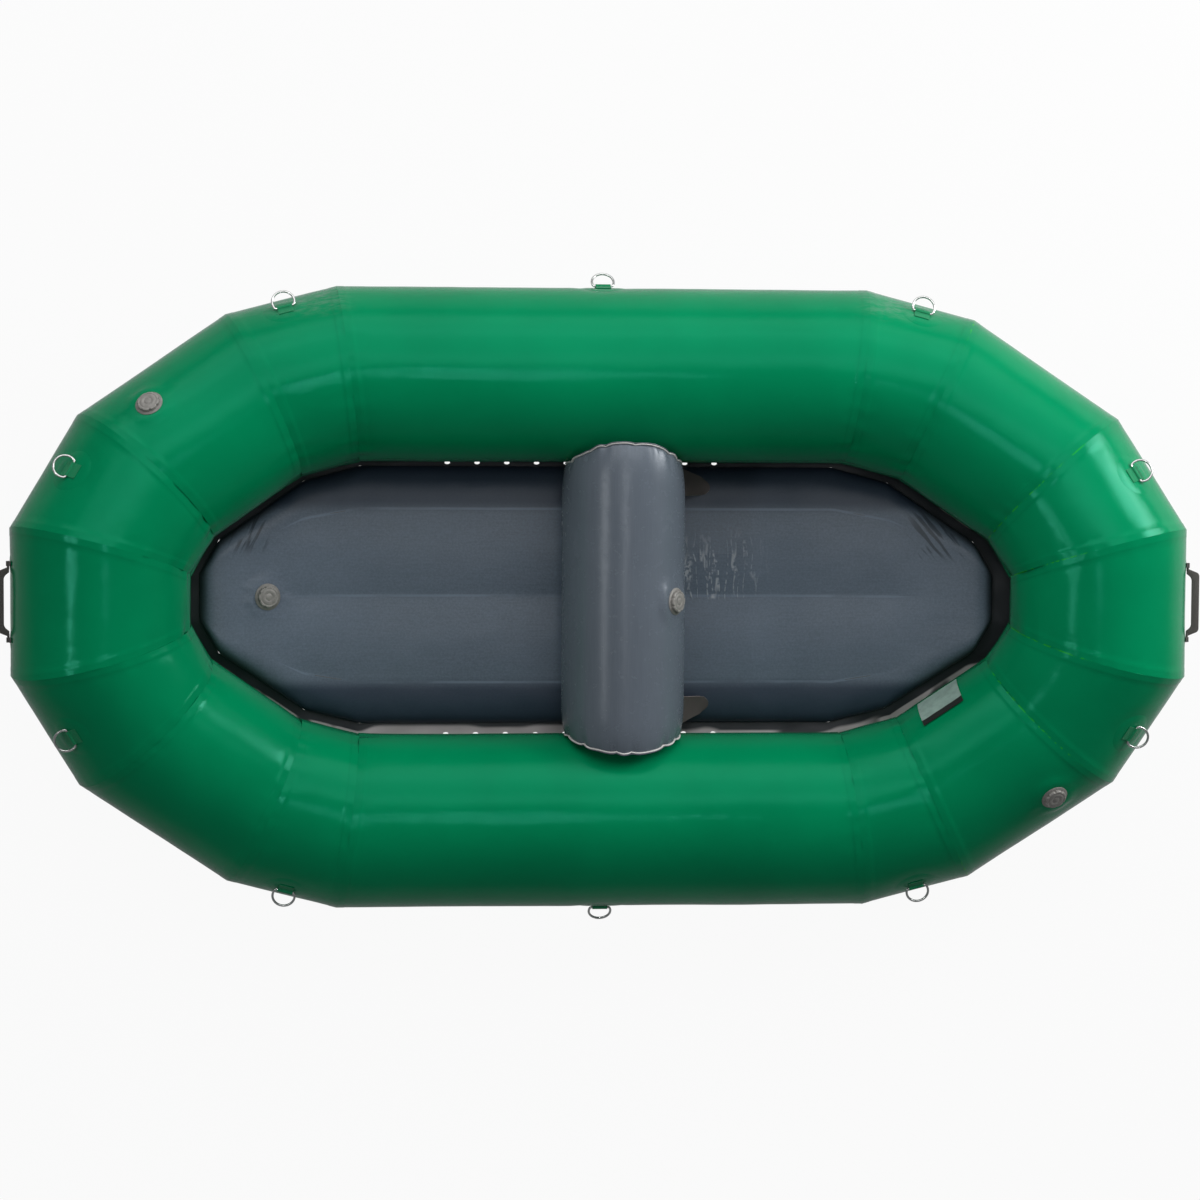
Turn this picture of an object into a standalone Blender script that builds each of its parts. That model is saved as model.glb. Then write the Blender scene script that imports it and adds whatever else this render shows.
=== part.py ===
"""A small self-bailing river raft, built from its real pieces: fabric panels, baffles, floor, thwart,
valves, lashing rings and handles. Metres, +X to the bow, +Y to port, +Z up, standing on z = 0."""

import math

import bmesh
import bpy
from mathutils import Matrix, Vector

# Main tube. The ring is symmetric about both of its middle planes, so one quarter of its corners drives it.
HULL_LENGTH = 2.93  # over the tubes
HULL_BEAM = 1.567
TUBE_DIAMETER = 0.44
TUBE_SIDES = 28  # a multiple of four, so that it stands on flats
SHOULDER_LENGTH = 0.218  # the three turning panels, in plan, along the tube's centreline
QUARTER_LENGTH = 0.354
CHEEK_LENGTH = 0.210
SHOULDER_HEADING = math.radians(15.1)  # how far each has turned inward from the side panel
QUARTER_HEADING = math.radians(35.1)
CHEEK_HEADING = math.radians(60.5)
SHOULDER_RISE = 0.015  # the rocker, panel by panel
QUARTER_RISE = 0.065
CHEEK_RISE = 0.060
FABRIC = 0.0012
GAP = 0.0003  # between pieces that touch

# Baffles, which part the tube into a bow and a stern chamber
BAFFLE_X = -0.09
BAFFLE_DOME = 0.03
BAFFLE_RINGS = (0, 0.6, 1)  # shares of its radius

# Floor, an inflated mat held flat by three lengthwise beams
FLOOR_UNDERSIDE = 0.006
FLOOR_CREST = 0.100  # thickness at the middle of a chamber
FLOOR_CREASE = 0.082  # and at a beam
FLOOR_INSET = 0.012  # from the tubes' inner line, all round
FLOOR_RISE = 0.125  # the floor's own rocker
FLOOR_RISE_LENGTH = 0.49  # of each end that curves up
FLOOR_RISE_POWER = 1.6
FLOOR_END_ROUND = 0.085
FLOOR_STATION_GAP = 0.007  # no two rings of its mesh lie closer
BEAM_OFFSET = 0.223
BEAM_CLEARANCE = 0.0006
BEAM_FADE = 0.10
SKIRT_ANGLE = math.radians(-42)  # where the skirt meets the tubes, below their inner line
SKIRT_LAP = 0.025  # welded on the tubes
DRAIN_COUNT = 10  # on each side
DRAIN_PITCH = 0.0765
DRAIN_X = -0.04  # the row's middle
DRAIN_LENGTH = 0.014
DRAIN_WIDTH = 0.008
DRAIN_SETBACK = 0.019  # from the floor's edge to the row of holes

# Thwart
THWART_X = 0.052
THWART_DIAMETER = 0.31
THWART_SIDES = 24
THWART_LIFT = 0.004  # of its underside above the floor
THWART_DRAW_IN = 0.014  # how much its radius shrinks to the welded ends
THWART_DRAW_LENGTH = 0.09
THWART_HUG = 0.66  # the seam bends round the tube by this share of the tube's own curve
THWART_DOME = 0.03
THWART_STATIONS = (-1, -5 / 6, -2 / 3, -1 / 2, 1 / 2, 2 / 3, 5 / 6, 1)  # the drawn-in end begins half way
THWART_END_STATIONS = (0.0, 0.4, 0.7, 0.9, 1.0)  # shares of the end's radius
HEM_WIDTH = 0.007
TAB_ROOT = 0.078
TAB_REACH = 0.104
TAB_TIP = 0.028
TAB_INSET = 0.010
TAB_THICKNESS = 0.003
TAB_ROOT_ANGLE = math.radians(-30)

# Lashing rings
RING_RADIUS = 0.0275
RING_WIRE = 0.006
RING_BAR_OFFSET = 0.014
RING_CORNER = 0.006
RING_CORNER_STEPS = 3
RING_ARC_STEPS = 9
RING_CLEARANCE = 0.0004
PATCH_DIAMETER = 0.11
PATCH_THICKNESS = 0.0015
PATCH_SIDES = 12
LOOP_WALL = 0.0018
LOOP_SINK = 0.0015
LOOP_END_PLAY = 0.001
SIDE_RING_ELEVATION = math.radians(3)
SIDE_RING_DROOP = math.radians(40)
SHOULDER_RING_ELEVATION = math.radians(29)
SHOULDER_RING_DROOP = math.radians(20)
SHOULDER_RING_SHIFT = 0.005  # from the panel's middle, towards the cheek where positive
CHEEK_RING_ELEVATION = math.radians(46)
CHEEK_RING_DROOP = math.radians(5)
CHEEK_RING_SHIFT = 0.002

# Carry handles
HANDLE_ELEVATION = math.radians(10)
HANDLE_OUTER_LENGTH = 0.146
HANDLE_REACH = 0.030
HANDLE_STRAP = 0.0195
HANDLE_FLARE = 0.013
HANDLE_THICKNESS = 0.004
HANDLE_FOOT = 0.0025
HANDLE_FOOT_WIDTH = 0.014
EYE_LENGTH = 0.012
EYE_END_PLAY = 0.0015
EYE_PATCH = 0.052

# Valves. Heights are above the flat boss that carries the valve.
TUBE_VALVE_ELEVATION = math.radians(52)
TUBE_VALVE_SHIFT = 0.088
THWART_VALVE_ELEVATION = math.radians(38)
FLOOR_VALVE_SETBACK = 0.17  # from the floor's stern end
BOSS_RADIUS = 0.039
BOSS_SIDES = 20
BOSS_THICKNESS = 0.0085
BOSS_PROUD = 0.002
FLANGE_RADIUS = 0.034
FLANGE_THICKNESS = 0.0025
NECK_RADIUS = 0.020
NECK_HEIGHT = 0.0075
SOCKET_RADIUS = 0.013
LIP_RADIUS = 0.0095
LIP_THICKNESS = 0.0015
LIP_HEIGHT = 0.0010
BARREL_RADIUS = 0.017
BARREL_BORE = 0.014
BARREL_DEPTH = 0.024
BARREL_CLEARANCE = 0.0005
BARREL_SIDES = 16
CLAMP_RADIUS = 0.030
CLAMP_THICKNESS = 0.003
WEB_THICKNESS = 0.003
PORT_COUNT = 4
PORT_RADIUS = 0.004
STEM_RADIUS = 0.002
STEM_CLEARANCE = 0.0004
HEAD_RADIUS = 0.0122
HEAD_THICKNESS = 0.0025
HEAD_SIDES = 12
STEM_OVERHANG = 0.0035
SPRING_RADIUS = 0.0058
SPRING_WIRE = 0.0012
SPRING_TURNS = 3
SPRING_POINTS = 8  # to a turn
GASKET_THICKNESS = 0.001
GASKET_INNER = 0.0145
GASKET_OUTER = 0.0185
CAP_RADIUS = 0.0275
CAP_SIDES = 20
CAP_CLEARANCE = 0.0006
CAP_TOP = 0.0024
CAP_NOTCHES = 8
CAP_NOTCH_RADIUS = 0.0038
CAP_NOTCH_DEPTH = 0.0025

TUBE_RADIUS = TUBE_DIAMETER / 2
TUBE_STEP = 2 * math.pi / TUBE_SIDES
TUBE_CENTRE_HEIGHT = TUBE_RADIUS * math.cos(TUBE_STEP / 2)
THWART_RADIUS = THWART_DIAMETER / 2
UP = Vector((0, 0, 1))


def clear_scene():
    for obj in list(bpy.data.objects):
        bpy.data.objects.remove(obj, do_unlink=True)


def collection(name):
    made = bpy.data.collections.new(name)
    bpy.context.scene.collection.children.link(made)
    return made


def material(name, colour, roughness, metallic=0.0):
    made = bpy.data.materials.new(name)
    made.use_nodes = True
    shader = made.node_tree.nodes["Principled BSDF"]
    shader.inputs["Base Color"].default_value = (*colour, 1.0)
    shader.inputs["Roughness"].default_value = roughness
    shader.inputs["Metallic"].default_value = metallic
    return made


def add_object(name, mesh, look, place=Matrix(), home=None):
    """An object for a mesh that is written about its own origin."""
    obj = bpy.data.objects.new(name, mesh)
    obj.matrix_world = place
    (home or PARTS).objects.link(obj)
    if look is not None:
        mesh.materials.append(look)
    return obj


def finish_mesh(name, bm):
    """A mesh with its faces turned out and its round faces shaded smooth."""
    bmesh.ops.recalc_face_normals(bm, faces=bm.faces)
    mesh = bpy.data.meshes.new(name)
    bm.to_mesh(mesh)
    bm.free()
    mesh.shade_smooth()
    mesh.set_sharp_from_angle(angle=math.radians(35))
    return mesh


def cutter(name, mesh, place=Matrix()):
    obj = add_object(name, mesh, None, place, CUTTERS)
    obj.hide_render = True
    obj.display_type = "WIRE"
    return obj


def combine(obj, other, operation):
    modifier = obj.modifiers.new(f"{operation.lower()} {other.name}", "BOOLEAN")
    modifier.operation = operation
    modifier.object = other
    modifier.solver = "EXACT"


def frame_matrix(origin, x_axis, y_axis, z_axis):
    turn = Matrix((x_axis, y_axis, z_axis)).transposed().to_4x4()
    return Matrix.Translation(origin) @ turn


def cylinder_mesh(name, radius, depth, sides=12, centre=(0, 0, 0), along="Z"):
    bm = bmesh.new()
    turns = {"X": Matrix.Rotation(math.pi / 2, 4, "Y"), "Y": Matrix.Rotation(math.pi / 2, 4, "X"), "Z": Matrix()}
    place = Matrix.Translation(centre) @ turns[along]
    bmesh.ops.create_cone(
        bm, cap_ends=True, segments=sides, radius1=radius, radius2=radius, depth=depth, matrix=place
    )
    return finish_mesh(name, bm)


def wrapped(section, sides, place):
    """A surface swept round an axis, its corners at place(angle, section value), welded where they meet."""
    angles = [2 * math.pi * step / sides for step in range(sides + 1)]
    bm = laid_grid(angles, section, place)
    bmesh.ops.remove_doubles(bm, verts=bm.verts, dist=0.00001)
    return bm


def laid_grid(columns, rows, place):
    """A grid of faces whose corners lie at place(column value, row value)."""
    bm = bmesh.new()
    bmesh.ops.create_grid(bm, x_segments=len(columns) - 1, y_segments=len(rows) - 1, size=0.5)
    for vert in bm.verts:
        column = columns[round((vert.co.x + 0.5) * (len(columns) - 1))]
        row = rows[round((vert.co.y + 0.5) * (len(rows) - 1))]
        vert.co = place(column, row)
    return bm


def turned_object(name, profile, look, place, sides):
    """A turned piece from (radius, height) points that run down its outer side."""
    bm = bmesh.new()
    points = [bm.verts.new((radius, 0, height)) for radius, height in profile]
    for start, end in zip(points, points[1:]):
        bm.edges.new((start, end))
    if profile[0][0] > 0 and profile[-1][0] > 0:
        bm.edges.new((points[-1], points[0]))
    mesh = bpy.data.meshes.new(name)
    bm.to_mesh(mesh)
    bm.free()
    obj = add_object(name, mesh, look, place)
    screw = obj.modifiers.new("turn", "SCREW")
    screw.steps = sides
    screw.render_steps = sides
    screw.use_merge_vertices = True
    screw.merge_threshold = 0.00001
    screw.use_smooth_shade = True
    return obj


# The main tube


def quarter_corners():
    """Centreline corners of the bow port quarter, from the side panel's end to the bow panel's."""
    legs = (
        (SHOULDER_LENGTH, SHOULDER_HEADING, SHOULDER_RISE),
        (QUARTER_LENGTH, QUARTER_HEADING, QUARTER_RISE),
        (CHEEK_LENGTH, CHEEK_HEADING, CHEEK_RISE),
    )
    forward = sum(length * math.cos(heading) for length, heading, _ in legs)
    point = Vector((HULL_LENGTH / 2 - TUBE_RADIUS - forward, HULL_BEAM / 2 - TUBE_RADIUS, TUBE_CENTRE_HEIGHT))
    corners = [point]
    for length, heading, rise in legs:
        point = point + Vector((length * math.cos(heading), -length * math.sin(heading), rise))
        corners.append(point)
    return corners


def ring_corners():
    """All sixteen corners, clockwise from above, from the port side panel's bow end."""
    quarter = quarter_corners()
    bow = quarter + [Vector((p.x, -p.y, p.z)) for p in reversed(quarter)]
    return bow + [Vector((-p.x, -p.y, p.z)) for p in bow]


PANEL_NAMES = (
    "bow_port_shoulder", "bow_port_quarter", "bow_port_cheek", "bow_panel",
    "bow_starboard_cheek", "bow_starboard_quarter", "bow_starboard_shoulder", "starboard_side_panel",
    "stern_starboard_shoulder", "stern_starboard_quarter", "stern_starboard_cheek", "stern_panel",
    "stern_port_cheek", "stern_port_quarter", "stern_port_shoulder", "port_side_panel",
)


class Panel:
    """One straight length of the ring, between two mitre planes."""

    def __init__(self, corners, index):
        count = len(corners)
        self.start = corners[index]
        self.end = corners[(index + 1) % count]
        self.direction = (self.end - self.start).normalized()
        before = (self.start - corners[index - 1]).normalized()
        after = (corners[(index + 2) % count] - self.end).normalized()
        self.start_mitre = (before + self.direction).normalized()
        self.end_mitre = (self.direction + after).normalized()
        self.outward = UP.cross(self.direction).normalized()
        self.upward = self.direction.cross(self.outward)
        self.middle = (self.start + self.end) / 2
        self.turn = 0.0  # of the flats round the tube, so that they run on across the mitres

    def radial(self, angle):
        return self.outward * math.cos(angle) + self.upward * math.sin(angle)

    def on_mitre(self, angle, radius, at_end, gap=GAP):
        """The point of the tube's surface at this angle that lies on one of the panel's mitres."""
        corner = self.end if at_end else self.start
        mitre = self.end_mitre if at_end else self.start_mitre
        back = -gap / 2 if at_end else gap / 2
        offset = self.radial(angle) * radius
        slide = (back - mitre.dot(offset)) / mitre.dot(self.direction)
        return corner + offset + self.direction * slide

    def anchor(self, angle, shift, height):
        """A frame above the tube's surface: X along the panel, Y round the tube, Z outward."""
        normal = self.radial(angle)
        origin = self.middle + self.direction * shift + normal * (self.flats_radius(angle, TUBE_RADIUS) + height)
        return frame_matrix(origin, self.direction, normal.cross(self.direction), normal)

    def flats_radius(self, angle, radius):
        """How far the faceted surface lies from the axis. Its flats' middles are whole steps apart."""
        around = angle - self.turn
        return radius * math.cos(TUBE_STEP / 2) / math.cos(around - TUBE_STEP * round(around / TUBE_STEP))


def all_panels():
    corners = ring_corners()
    made = {name: Panel(corners, index) for index, name in enumerate(PANEL_NAMES)}
    for end in ("bow", "stern"):
        for side in ("port", "starboard"):
            before = made[f"{side}_side_panel"]
            flat = before.outward
            corner_panels = [f"{end}_{side}_{part}" for part in ("shoulder", "quarter", "cheek")]
            for name in corner_panels + [f"{end}_panel"]:
                panel = made[name]
                flat = before.direction.rotation_difference(panel.direction) @ flat
                panel.turn = math.atan2(flat.dot(panel.upward), flat.dot(panel.outward))
                before = panel
    return made


def panel_mesh(name, panel):
    """An open-ended fabric tube, cut by both mitres, about the panel's middle."""
    inner = TUBE_RADIUS - FABRIC
    section = [(False, TUBE_RADIUS), (True, TUBE_RADIUS), (True, inner), (False, inner), (False, TUBE_RADIUS)]

    def place(angle, corner):
        at_end, radius = corner
        return panel.on_mitre(angle + TUBE_STEP / 2 + panel.turn, radius, at_end) - panel.middle

    return finish_mesh(name, wrapped(section, TUBE_SIDES, place))


def patch_mesh(name, panel, angle, shift, diameter):
    """A round fabric patch that follows the tube's flats and sinks to the middle of its wall."""
    bm = bmesh.new()
    bmesh.ops.create_circle(bm, cap_ends=True, segments=PATCH_SIDES, radius=diameter / 2)
    reach = diameter / 2 / TUBE_RADIUS
    around = angle - panel.turn
    first = math.ceil((around - reach) / TUBE_STEP - 0.5)
    last = math.floor((around + reach) / TUBE_STEP - 0.5)
    for index in range(first, last + 1):
        fold = ((index + 0.5) * TUBE_STEP - around) * TUBE_RADIUS
        everything = bm.verts[:] + bm.edges[:] + bm.faces[:]
        bmesh.ops.bisect_plane(bm, geom=everything, plane_co=(0, fold, 0), plane_no=(0, 1, 0))
    copy = bmesh.ops.duplicate(bm, geom=bm.verts[:] + bm.edges[:] + bm.faces[:])["geom"]
    lower = {item for item in copy if isinstance(item, bmesh.types.BMVert)}
    for vert in bm.verts:
        spoke_angle = angle + vert.co.y / TUBE_RADIUS
        level = TUBE_RADIUS - FABRIC / 2 if vert in lower else TUBE_RADIUS + PATCH_THICKNESS
        spoke = panel.radial(spoke_angle) * panel.flats_radius(spoke_angle, level)
        vert.co = panel.direction * (vert.co.x + shift) + spoke
    bmesh.ops.reverse_faces(bm, faces=[item for item in copy if isinstance(item, bmesh.types.BMFace)])
    bmesh.ops.bridge_loops(bm, edges=[edge for edge in bm.edges if edge.is_boundary])
    return finish_mesh(name, bm)


def build_tube(panels):
    made = {}
    for name, panel in panels.items():
        made[name] = add_object(name, panel_mesh(name, panel), TUBE_LOOK, Matrix.Translation(panel.middle))
    return made


def build_baffles(panels):
    """Domed fabric bulkheads, welded inside the two side panels."""
    radius = TUBE_RADIUS - FABRIC - GAP
    front = [(radius * share, BAFFLE_DOME * (1 - share**2)) for share in BAFFLE_RINGS]
    back = [(across, height - FABRIC) for across, height in reversed(front)]
    for name in ("port", "starboard"):
        panel = panels[f"{name}_side_panel"]
        centre = Vector((BAFFLE_X, panel.middle.y, panel.middle.z))
        place = frame_matrix(centre, Vector((0, 1, 0)), UP, Vector((1, 0, 0)))
        place = place @ Matrix.Rotation(TUBE_STEP / 2, 4, "Z")
        turned_object(f"{name}_baffle", front + back, INNER_LOOK, place, TUBE_SIDES)


# Lashing rings and handles, which hang in webbing loops that are part of their panel's patch


WIRE_RADIUS = RING_WIRE / 2
LOOP_BORE = WIRE_RADIUS + RING_CLEARANCE
LOOP_RADIUS = LOOP_BORE + LOOP_WALL
PIVOT_HEIGHT = PATCH_THICKNESS + LOOP_RADIUS - LOOP_SINK


def corner_centre():
    """Half the straight bar's length, where the ring's corner arcs begin."""
    reach = RING_RADIUS - RING_CORNER
    return math.sqrt(reach**2 - (RING_BAR_OFFSET - RING_CORNER) ** 2)


RING_STATIONS = (
    ("port_centre_ring", "port_side_panel", SIDE_RING_ELEVATION, SIDE_RING_DROOP, None),
    ("bow_port_shoulder_ring", "bow_port_shoulder", SHOULDER_RING_ELEVATION, SHOULDER_RING_DROOP,
     SHOULDER_RING_SHIFT),
    ("bow_port_cheek_ring", "bow_port_cheek", CHEEK_RING_ELEVATION, CHEEK_RING_DROOP, CHEEK_RING_SHIFT),
    ("bow_starboard_cheek_ring", "bow_starboard_cheek", CHEEK_RING_ELEVATION, CHEEK_RING_DROOP,
     -CHEEK_RING_SHIFT),
    ("bow_starboard_shoulder_ring", "bow_starboard_shoulder", SHOULDER_RING_ELEVATION, SHOULDER_RING_DROOP,
     -SHOULDER_RING_SHIFT),
    ("starboard_centre_ring", "starboard_side_panel", SIDE_RING_ELEVATION, SIDE_RING_DROOP, None),
    ("stern_starboard_shoulder_ring", "stern_starboard_shoulder", SHOULDER_RING_ELEVATION,
     SHOULDER_RING_DROOP, SHOULDER_RING_SHIFT),
    ("stern_starboard_cheek_ring", "stern_starboard_cheek", CHEEK_RING_ELEVATION, CHEEK_RING_DROOP,
     CHEEK_RING_SHIFT),
    ("stern_port_cheek_ring", "stern_port_cheek", CHEEK_RING_ELEVATION, CHEEK_RING_DROOP, -CHEEK_RING_SHIFT),
    ("stern_port_shoulder_ring", "stern_port_shoulder", SHOULDER_RING_ELEVATION, SHOULDER_RING_DROOP,
     -SHOULDER_RING_SHIFT),
)


def ring_outline():
    """The bent wire's centreline: X along the bar, Y away from it, the bar on Y = 0."""
    flat = corner_centre()
    corner = Vector((flat, RING_CORNER - RING_BAR_OFFSET))
    turn = math.atan2(corner.y, corner.x)
    points = []
    for step in range(RING_CORNER_STEPS):
        angle = -math.pi / 2 + (math.pi / 2 + turn) * step / RING_CORNER_STEPS
        points.append(corner + RING_CORNER * Vector((math.cos(angle), math.sin(angle))))
    for step in range(RING_ARC_STEPS + 1):
        angle = turn + (math.pi - 2 * turn) * step / RING_ARC_STEPS
        points.append(RING_RADIUS * Vector((math.cos(angle), math.sin(angle))))
    points += [Vector((-point.x, point.y)) for point in reversed(points[:RING_CORNER_STEPS])]
    return [Vector((point.x, point.y + RING_BAR_OFFSET, 0)) for point in points]


def wire_curve(name, points, depth, resolution, cyclic):
    curve = bpy.data.curves.new(name, "CURVE")
    curve.dimensions = "3D"
    spline = curve.splines.new("POLY")
    spline.points.add(len(points) - 1)
    for point, place in zip(spline.points, points):
        point.co = (*place, 1)
    spline.use_cyclic_u = cyclic
    curve.bevel_depth = depth
    curve.bevel_resolution = resolution
    curve.use_fill_caps = True
    return curve


def ring_place(panel, elevation, droop, shift):
    """The ring's own frame: X along its bar, Y out of the loop, drooped below level."""
    pivot = panel.anchor(elevation, shift, PIVOT_HEIGHT).translation
    reach = panel.outward * math.cos(droop) - panel.upward * math.sin(droop)
    return frame_matrix(pivot, panel.direction, reach, panel.direction.cross(reach))


def panel_shift(panel, shift):
    """A shift of None puts a station on the hull's middle."""
    return -panel.middle.dot(panel.direction) if shift is None else shift


def add_loop(tube, panel, name, angle, shift, length):
    """A webbing loop, bored for the wire that turns in it, welded to the patch below it."""
    place = panel.anchor(angle, shift, PIVOT_HEIGHT)
    loop = cutter(f"{name}_loop", cylinder_mesh(name, LOOP_RADIUS, length, along="X"), place)
    bore = cutter(f"{name}_bore", cylinder_mesh(name, LOOP_BORE, length + 2 * LOOP_WALL, along="X"), place)
    combine(tube, loop, "UNION")
    combine(tube, bore, "DIFFERENCE")


def add_patch(tube, panel, name, angle, shift, diameter):
    mesh = patch_mesh(f"{name}_patch", panel, angle, shift, diameter)
    combine(tube, cutter(f"{name}_patch", mesh, Matrix.Translation(panel.middle)), "UNION")


def build_rings(panels, tubes):
    outline = ring_outline()
    curve = wire_curve("lashing_ring", outline, WIRE_RADIUS, 1, True)
    curve.materials.append(STEEL_LOOK)
    loop_length = 2 * (corner_centre() - LOOP_END_PLAY)
    for name, panel_name, elevation, droop, station in RING_STATIONS:
        panel = panels[panel_name]
        shift = panel_shift(panel, station)
        add_patch(tubes[panel_name], panel, name, elevation, shift, PATCH_DIAMETER)
        add_loop(tubes[panel_name], panel, name, elevation, shift, loop_length)
        ring = bpy.data.objects.new(name, curve)
        ring.matrix_world = ring_place(panel, elevation, droop, shift)
        PARTS.objects.link(ring)


def handle_mesh(name):
    """A flat strap bent to a shallow arch, with a stub at each foot: X along the hinge, Y outward."""
    half = HANDLE_OUTER_LENGTH / 2
    inner = HANDLE_REACH - HANDLE_STRAP
    foot = half + HANDLE_FLARE
    root = foot - HANDLE_FOOT_WIDTH
    outline = [
        (-foot, -HANDLE_FOOT), (-half, HANDLE_REACH), (half, HANDLE_REACH), (foot, -HANDLE_FOOT),
        (root, -HANDLE_FOOT), (root - inner, inner), (inner - root, inner), (-root, -HANDLE_FOOT),
    ]
    curve = bpy.data.curves.new(name, "CURVE")
    curve.dimensions = "2D"
    curve.fill_mode = "BOTH"
    curve.extrude = HANDLE_THICKNESS / 2
    spline = curve.splines.new("POLY")
    spline.points.add(len(outline) - 1)
    for point, (x, y) in zip(spline.points, outline):
        point.co = (x, y, 0, 1)
    spline.use_cyclic_u = True
    flat = bpy.data.objects.new(name, curve)
    PARTS.objects.link(flat)
    bpy.context.view_layer.update()
    mesh = bpy.data.meshes.new_from_object(flat.evaluated_get(bpy.context.evaluated_depsgraph_get()))
    bpy.data.objects.remove(flat)
    bm = bmesh.new()
    bm.from_mesh(mesh)
    bmesh.ops.remove_doubles(bm, verts=bm.verts, dist=0.00001)
    return finish_mesh(name, bm)


def build_handles(panels, tubes):
    foot = HANDLE_OUTER_LENGTH / 2 + HANDLE_FLARE
    eye_middle = foot + EYE_END_PLAY + EYE_LENGTH / 2
    for name, panel_name in (("bow_handle", "bow_panel"), ("stern_handle", "stern_panel")):
        panel = panels[panel_name]
        place = ring_place(panel, HANDLE_ELEVATION, 0, 0)
        handle = add_object(name, handle_mesh(name), WEBBING_LOOK, place)
        for side in (-1, 1):
            stub_length = HANDLE_STRAP / 2 + EYE_END_PLAY + EYE_LENGTH
            middle = side * (foot - HANDLE_STRAP / 2 + stub_length / 2)
            stub_name = f"{name}_stub_{side}"
            stub = cylinder_mesh(stub_name, WIRE_RADIUS, stub_length, centre=(middle, 0, 0), along="X")
            combine(handle, cutter(stub_name, stub, place), "UNION")
            eye = f"{name}_eye_{side}"
            shift = side * eye_middle
            add_patch(tubes[panel_name], panel, eye, HANDLE_ELEVATION, shift, EYE_PATCH)
            add_loop(tubes[panel_name], panel, eye, HANDLE_ELEVATION, shift, EYE_LENGTH)


# The floor


def inner_outline():
    """Corners of the floor's edge in one quarter, in plan, offset inward from the tube's centreline."""
    headings = (0, SHOULDER_HEADING, QUARTER_HEADING, CHEEK_HEADING, math.pi / 2)
    corners = []
    for corner, before, after in zip(quarter_corners(), headings, headings[1:]):
        middle = (before + after) / 2
        reach = (TUBE_RADIUS + FLOOR_INSET) / math.cos((after - before) / 2)
        corners.append(Vector((corner.x - reach * math.sin(middle), corner.y - reach * math.cos(middle))))
    return corners


OUTLINE = inner_outline()
FLOOR_HALF_WIDTH = OUTLINE[0].y
BEAM_HALF_LENGTH = OUTLINE[1].x
FLOOR_HALF_LENGTH = OUTLINE[3].x
BEAM_SHARE = BEAM_OFFSET / FLOOR_HALF_WIDTH
FLOOR_RISE_START = FLOOR_HALF_LENGTH - FLOOR_RISE_LENGTH
FLOOR_VALVE_X = FLOOR_VALVE_SETBACK - FLOOR_HALF_LENGTH


def floor_half_width(x):
    x = abs(x)
    for near, far in zip(OUTLINE, OUTLINE[1:]):
        if near.x < x <= far.x:
            return near.y + (far.y - near.y) * (x - near.x) / (far.x - near.x)
    return OUTLINE[0].y if x <= OUTLINE[0].x else OUTLINE[-1].y


def floor_middle(x):
    """Height of the floor's middle plane, which follows the rocker."""
    along = max(0.0, abs(x) - FLOOR_RISE_START) / FLOOR_RISE_LENGTH
    return FLOOR_UNDERSIDE + FLOOR_CREST / 2 + FLOOR_RISE * along**FLOOR_RISE_POWER


def floor_face(x, y):
    """Height of the floor's upper surface."""
    return floor_middle(x) + floor_bulge(x, y / floor_half_width(x)) + GAP / 2


def floor_bulge(x, share):
    """Half the floor's thickness at a share of its half width: chambers, creases and round edges."""
    share = abs(share)
    fade = min(1.0, max(0.0, (BEAM_HALF_LENGTH + BEAM_FADE - abs(x)) / BEAM_FADE))
    crest = FLOOR_CREST / 2
    crease = crest - (FLOOR_CREST - FLOOR_CREASE) / 2 * fade
    if share <= BEAM_SHARE:
        height = crease + (crest - crease) * math.sin(math.pi * share / BEAM_SHARE)
    else:
        outer = (share - BEAM_SHARE) / (1 - BEAM_SHARE)
        height = crease * math.sqrt(max(0.0, 1 - outer**2))
    end = max(0.0, abs(x) - (FLOOR_HALF_LENGTH - FLOOR_END_ROUND)) / FLOOR_END_ROUND
    return height * math.sqrt(max(0.0, 1 - end**2))


def floor_stations():
    """Lengthwise places of the floor's rings: the outline's corners, and fill between them."""
    corners = [corner.x for corner in OUTLINE[:3]]
    round_start = FLOOR_HALF_LENGTH - FLOOR_END_ROUND
    fill = [0, FLOOR_RISE_START, BEAM_HALF_LENGTH + BEAM_FADE]
    fill += [round_start + FLOOR_END_ROUND * math.sin(math.pi / 2 * step / 3) for step in range(4)]
    clear = [x for x in fill if all(abs(x - corner) > FLOOR_STATION_GAP for corner in corners)]
    half = sorted(corners + clear)
    return [-x for x in reversed(half[1:])] + half


def floor_shares():
    """Crosswise places, as shares of the half width: four to a chamber, three to a round edge."""
    half = [BEAM_SHARE * step / 4 for step in range(5)]
    half += [BEAM_SHARE + (1 - BEAM_SHARE) * math.sin(math.pi / 2 * step / 3) for step in range(1, 4)]
    return [-share for share in reversed(half[1:])] + half


def floor_sheet(side):
    """The top (side 1) or bottom (side -1) sheet's fabric surface."""
    return laid_grid(
        floor_stations(),
        floor_shares(),
        lambda x, share: (
            x,
            share * floor_half_width(x),
            floor_middle(x) + side * (floor_bulge(x, share) + GAP / 2),
        ),
    )


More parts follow.
